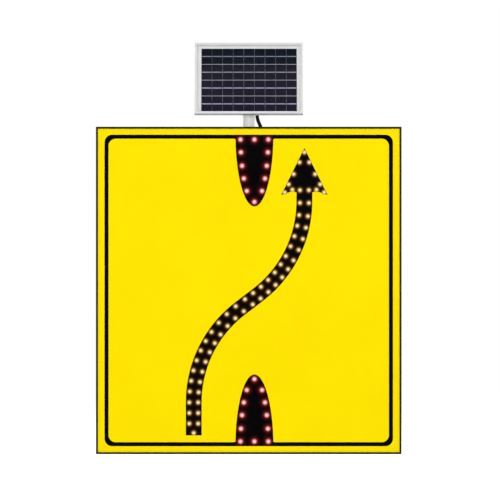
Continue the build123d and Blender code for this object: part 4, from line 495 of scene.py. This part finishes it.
def ribbon_tin():
    """Tinned ribbon with drawn lines, with painted shade by height: violet silver low on the panel and
    darker slate towards its top.
    """
    look = Shader("ribbon_tin", Metallic=0.3)
    # Painted shade: the ribbon's colour is made darker towards the top of the panel
    height_shade = look.ramp(cell_level(look), *RIBBON_SHADE_BY_HEIGHT)
    lines = look.vary(drawn_lines(look, ALONG_X, roughness=0.32), 0.86, 1.0)
    return look.set(Base_Color=look.multiply(height_shade, lines))


def silicon_cells():
    """Polycrystalline silicon: flakes with painted shade by height, slate at the top and violet lower down,
    with silver fingers.
    """
    look = Shader("cell_silicon", Roughness=0.35, Specular_IOR_Level=0.02)
    # Painted shade: the cells' colour is made darker towards the top of the panel
    height_shade = look.ramp(cell_level(look), *CELL_SHADE_BY_HEIGHT)
    flakes = look.grey(look.cells(SILICON_FLAKES, look.place(THROUGH_CELLS))["Color"])
    body = look.multiply(height_shade, look.vary(flakes, 0.7, 1.0, span=(0.1, 0.9)))
    pitch_share = look.math("FRACT", look.axis("X", SILVER_FINGERS), 0.0)
    finger = look.math("LESS_THAN", pitch_share, FINGER_SHARE)
    return look.set(Base_Color=look.mix(finger, body, FINGER_SILVER))


def panel_glass():
    """Low-glare cover glass: clear from the front, with a reflection that grows at a slant."""
    look = Shader("panel_glass", Base_Color=(0.02, 0.022, 0.024, 1), Specular_IOR_Level=0.04)
    look.set(Roughness=look.vary(look.noise(size=0.05, detail=6), 0.05, 0.12))
    return look.set(Alpha=look.add("ShaderNodeLayerWeight", {"Blend": 0.12}).outputs["Facing"])


def white_film(name, colour):
    """White polymer film with a slight unevenness."""
    look = Shader(name, Roughness=0.5)
    look.set(Base_Color=look.vary(look.noise(size=0.04, detail=5), *shades(colour, 0.94, 1.03)))
    return look.set(Normal=look.bump(look.noise(size=0.003), depth=0.00003))


def battery_lead():
    """Pair of leads told apart by side: red on the right, black on the left."""
    look = Shader("battery_lead", Roughness=0.42)
    middle = sum(corner.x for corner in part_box("battery")) / 2
    right = look.math("GREATER_THAN", look.axis("X"), middle)
    scuffs = look.noise(size=0.01, detail=5)
    red = look.vary(scuffs, (0.42, 0.012, 0.01), (0.52, 0.02, 0.016))
    black = look.vary(scuffs, (0.012, 0.012, 0.013), (0.025, 0.025, 0.026))
    return look.set(Base_Color=look.mix(right, black, red))


materials = {
    "frame_black": powder_coat(
        "frame_black",
        (0.0055, 0.005, 0.0038),
        roughness=0.7,
        wear=(0.012, 0.011, 0.009),
        shine=0.12,
        grime=(0.85, 1.15),
        peel=0.00002,
    ),
    "sheet_aluminium": brushed("sheet_aluminium", (0.46, 0.47, 0.48), ALONG_Z, roughness=0.45),
    "yellow_sheeting": yellow_sheeting(),
    "black_film": black_film(),
    "amber_lens": lit_lens("amber_lens", (0.02, 0.010, 0.002), HOT_AMBER),
    "red_lens": lit_lens("red_lens", (0.02, 0.001, 0.001), HOT_RED),
    "board_green": circuit_board(),
    "zinc_steel": brushed("zinc_steel", (0.42, 0.42, 0.405), ALL_WAYS, roughness=0.36),
    "stainless": brushed("stainless", (0.44, 0.44, 0.435), ALONG_Z, roughness=0.4),
    "galvanised": galvanised("galvanised", (0.43, 0.445, 0.455)),
    "cast_aluminium": cast_metal("cast_aluminium", (0.56, 0.57, 0.58)),
    "gasket_rubber": rubber("gasket_rubber", (0.018, 0.018, 0.018)),
    "cover_grey": powder_coat("cover_grey", (0.37, 0.385, 0.39), roughness=0.5),
    "battery_case": moulded("battery_case", (0.03, 0.032, 0.036), roughness=0.5),
    "terminal_metal": brushed("terminal_metal", (0.66, 0.60, 0.44), ALL_WAYS),
    "strap_steel": galvanised("strap_steel", (0.36, 0.36, 0.36)),
    "controller_case": moulded("controller_case", (0.05, 0.075, 0.11), roughness=0.45),
    "block_green": moulded("block_green", (0.03, 0.26, 0.1), roughness=0.38),
    "lead_black": rubber(
        "lead_black",
        (0.0035, 0.0035, 0.0037),
        shine=0.1,
        bloom=0.02,
        relief=0.00002,
    ),
    "switch_black": moulded("switch_black", (0.018, 0.018, 0.018), roughness=0.28),
    "rocker_red": moulded("rocker_red", (0.5, 0.018, 0.014), roughness=0.25),
    "mast_paint": powder_coat(
        "mast_paint",
        (0.94, 0.94, 0.93),
        wear=(0.97, 0.97, 0.97),
        grime=(0.95, 1.02),
    ),
    "plug_black": moulded("plug_black", (0.018, 0.018, 0.019), roughness=0.45),
    "panel_aluminium": panel_aluminium("panel_aluminium", ALONG_X),
    "panel_glass": panel_glass(),
    "cell_silicon": silicon_cells(),
    "ribbon_tin": ribbon_tin(),
    "backsheet_white": white_film("backsheet_white", (0.80, 0.80, 0.795)),
}
node_materials = {
    "panel_frame_stiles": panel_aluminium("panel_aluminium_upright", ALONG_Z),
    "battery_leads": battery_lead(),
}
for entry in frame["record"]["subparts"]:
    mesh = nodes[entry["node"]].data
    mesh.materials.clear()
    mesh.materials.append(node_materials.get(entry["node"], materials[entry["material_slot"]]))


# Camera
camera = bpy.data.objects.new("camera", bpy.data.cameras.new("camera"))
camera.data.lens = CAMERA_LENS
camera.data.sensor_width = CAMERA_SENSOR
camera.location = (CAMERA_X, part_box("frame_rails")[0].y - CAMERA_DISTANCE, CAMERA_Z)
camera.rotation_euler = (radians(90), 0, 0)
scene.collection.objects.link(camera)
scene.camera = camera


# New pieces
def add_piece(name, form, material, body=None):
    """Puts a finished form in the scene as a smooth piece, on a body if it rides on one alone."""
    mesh = bpy.data.meshes.new(name)
    form.to_mesh(mesh)
    form.free()
    mesh.shade_smooth()
    mesh.materials.append(material)
    piece = bpy.data.objects.new(name, mesh)
    scene.collection.objects.link(piece)
    if body:
        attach(piece, body)
    return piece


def circle_turns(sides):
    """Angles of evenly spaced points round a circle."""
    return [tau * side / sides for side in range(sides)]


# Solar lead
def spline_points(points):
    """Points along a smooth open spline whose control points are given."""
    curve = bpy.data.curves.new("route", "CURVE")
    curve.dimensions = "3D"
    curve.resolution_u = TUBE_SPLINE_STEPS
    spline = curve.splines.new("NURBS")
    spline.points.add(len(points) - 1)
    for control, point in zip(spline.points, points):
        control.co = (*point, 1)
    spline.order_u = 3
    spline.use_endpoint_u = True
    holder = bpy.data.objects.new("route", curve)
    mesh = bpy.data.meshes.new_from_object(holder)
    line = [vertex.co.copy() for vertex in mesh.vertices]
    bpy.data.objects.remove(holder)
    bpy.data.meshes.remove(mesh)
    bpy.data.curves.remove(curve)
    return line


def line_tangents(line):
    """Direction of a line at each of its points."""
    befores = [line[0], *line[:-1]]
    afters = [*line[1:], line[-1]]
    return [(after - before).normalized() for before, after in zip(befores, afters)]


def tube_form(line, radius):
    """Closed round tube along a line of points, with its rings turned as little as can be."""
    form = bmesh.new()
    tangents = line_tangents(line)
    across = tangents[0].orthogonal().normalized()
    rings = []
    for point, tangent in zip(line, tangents):
        across = (across - tangent * across.dot(tangent)).normalized()
        other = tangent.cross(across)
        ring = []
        for turn in circle_turns(TUBE_SIDES):
            ring.append(form.verts.new(point + (across * cos(turn) + other * sin(turn)) * radius))
        rings.append(ring)
    for ring, following in zip(rings, rings[1:]):
        for side in range(TUBE_SIDES):
            ahead = (side + 1) % TUBE_SIDES
            form.faces.new((ring[side], ring[ahead], following[ahead], following[side]))
    form.faces.new(reversed(rings[0]))
    form.faces.new(rings[-1])
    return form


def solar_lead(node, route, bodies, bend):
    """One stretch of the solar lead, bending across the joint between its two bodies."""
    line = spline_points(route)
    form = tube_form(line, SOLAR_LEAD_D / 2)
    piece = add_piece(node + "_jacket", form, materials["lead_black"])
    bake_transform(piece, bodies[0], bodies[1], start=bend[0], end=bend[1])
    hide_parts(node)


solar_lead(
    "solar_lead_lower",
    LOWER_ROUTE,
    bodies=("cabinet", "swivel_head"),
    bend=LOWER_BEND,
)
solar_lead(
    "solar_lead_upper",
    UPPER_ROUTE,
    bodies=("swivel_head", "panel"),
    bend=UPPER_BEND,
)


# Lamp collars, with the lamps' glow painted on them
def linked_group(start, seen):
    """The vertices that edges join to a first one, which are noted as seen."""
    seen.add(start)
    group = [start]
    for vertex in group:
        for edge in vertex.link_edges:
            other = edge.other_vert(vertex)
            if other not in seen:
                seen.add(other)
                group.append(other)
    return group


def lamp_centres(node):
    """Middle of each separate lamp in a node, seen from the front."""
    form = bmesh.new()
    form.from_mesh(nodes[node].data)
    bmesh.ops.remove_doubles(form, verts=form.verts, dist=WELD)
    seen = set()
    centres = []
    for start in form.verts:
        if start in seen:
            continue
        group = linked_group(start, seen)
        xs = [vertex.co.x for vertex in group]
        zs = [vertex.co.z for vertex in group]
        centres.append(((min(xs) + max(xs)) / 2, (min(zs) + max(zs)) / 2))
    form.free()
    return centres


def film_test(*films):
    """A test that says whether a point, seen from the front, lies on one of the films."""
    trees = []
    for film in films:
        mesh = nodes[film].data
        points = [vertex.co for vertex in mesh.vertices]
        faces = [face.vertices[:] for face in mesh.polygons]
        trees.append(BVHTree.FromPolygons(points, faces))

    def on_film(x, z):
        start = Vector((x, BEFORE_FACE_Y, z))
        return any(tree.ray_cast(start, Vector(BACKWARD))[0] is not None for tree in trees)

    return on_film


def collar_ring(form, centre, share, inner, outer, on_film):
    """One ring of a collar, a share of the way out, drawn in to where the film is."""
    glow = form.verts.layers.float["glow"]
    x, front, z = centre
    y = front - COLLAR_H * (1 - share) ** COLLAR_CURVE
    ring = []
    for turn in circle_turns(COLLAR_SIDES):
        radius = inner + (outer - inner) * share
        while radius > inner and not on_film(x + radius * cos(turn), z + radius * sin(turn)):
            radius -= COLLAR_STEP
        vertex = form.verts.new((x + radius * cos(turn), y, z + radius * sin(turn)))
        vertex[glow] = 1 - (radius - inner) / (outer - inner)
        ring.append(vertex)
    return ring


def collars(node, inner, outer, slot, light, on_film):
    """Shallow rings round the lamps of a node, with the lamps' glow painted on them over the film."""
    name = node.removesuffix("s") + "_painted_glow_collars"
    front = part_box("arrow_film")[0].y
    form = bmesh.new()
    form.verts.layers.float.new("glow")
    for x, z in lamp_centres(node):
        rings = []
        for step in range(COLLAR_RINGS + 1):
            share = step / COLLAR_RINGS
            rings.append(collar_ring(form, (x, front, z), share, inner, outer, on_film))
        for ring, following in zip(rings, rings[1:]):
            for side in range(COLLAR_SIDES):
                ahead = (side + 1) % COLLAR_SIDES
                form.faces.new((ring[side], following[side], following[ahead], ring[ahead]))
    add_piece(name, form, painted_glow_collar(slot.replace("lens", "collar"), light), body="cabinet")


on_island = film_test("island_films", "border_film")
on_arrow = film_test("arrow_film")
collars("red_lamps", RED_LENS_R, RED_COLLAR_R, "red_lens", RED_PAINTED_GLOW, on_island)
collars("amber_lamps", AMBER_LENS_R, AMBER_COLLAR_R, "amber_lens", AMBER_PAINTED_GLOW, on_arrow)


# Studio: floor, lamps and a white surrounding
def seen_rays(tree):
    """1 for rays by which the camera sees something, straight, mirrored or through glass, else 0."""
    path = tree.nodes.new("ShaderNodeLightPath")
    seen = path.outputs["Is Camera Ray"]
    for kind in ("Is Glossy Ray", "Is Transmission Ray"):
        either = tree.nodes.new("ShaderNodeMath")
        either.operation = "MAXIMUM"
        tree.links.new(seen, either.inputs[0])
        tree.links.new(path.outputs[kind], either.inputs[1])
        seen = either.outputs[0]
    return seen


def floor_material():
    """Matt white floor that shows its shadows and is lifted to white for the camera."""
    look = Shader("studio_floor")
    diffuse = look.add("ShaderNodeBsdfDiffuse", {"Color": FLOOR_COLOUR})
    lift = look.math("MULTIPLY", seen_rays(look.tree), FLOOR_LIFT)
    glow = look.add("ShaderNodeEmission", {"Strength": lift})
    both = look.add("ShaderNodeAddShader", {0: diffuse.outputs[0], 1: glow.outputs[0]})
    look.put(look.tree.nodes["Material Output"].inputs["Surface"], both.outputs[0])
    look.tree.nodes.remove(look.surface)
    return look.material


def add_floor():
    """Wide flat floor below the sign."""
    mesh = bpy.data.meshes.new("floor")
    half = FLOOR_SIZE / 2
    level = cad_box[0].z - FLOOR_DROP
    corners = [(-half, -half, level), (half, -half, level), (half, half, level), (-half, half, level)]
    mesh.from_pydata(corners, [], [(0, 1, 2, 3)])
    mesh.materials.append(floor_material())
    floor = bpy.data.objects.new("floor", mesh)
    scene.collection.objects.link(floor)


def add_lamp(name, place, size, power):
    """Square soft lamp that points at the sign."""
    lamp = bpy.data.objects.new(name, bpy.data.lights.new(name, "AREA"))
    lamp.data.size = size
    lamp.data.energy = power
    lamp.location = place
    lamp.rotation_euler = (-Vector(place)).to_track_quat("-Z", "Y").to_euler()
    scene.collection.objects.link(lamp)


def studio_world():
    """Surrounding that is white where the camera sees it, and a soft light on everything else."""
    world = bpy.data.worlds.new("studio")
    world.use_nodes = True
    tree = world.node_tree
    strength = tree.nodes.new("ShaderNodeMapRange")
    strength.inputs["To Min"].default_value = AMBIENT
    strength.inputs["To Max"].default_value = SEEN_WHITE
    tree.links.new(seen_rays(tree), strength.inputs["Value"])
    background = tree.nodes["Background"]
    background.inputs["Color"].default_value = (1, 1, 1, 1)
    tree.links.new(strength.outputs[0], background.inputs["Strength"])
    return world


add_floor()
for lamp_values in LAMPS:
    add_lamp(*lamp_values)
scene.world = studio_world()
scene.view_settings.view_transform = "Standard"
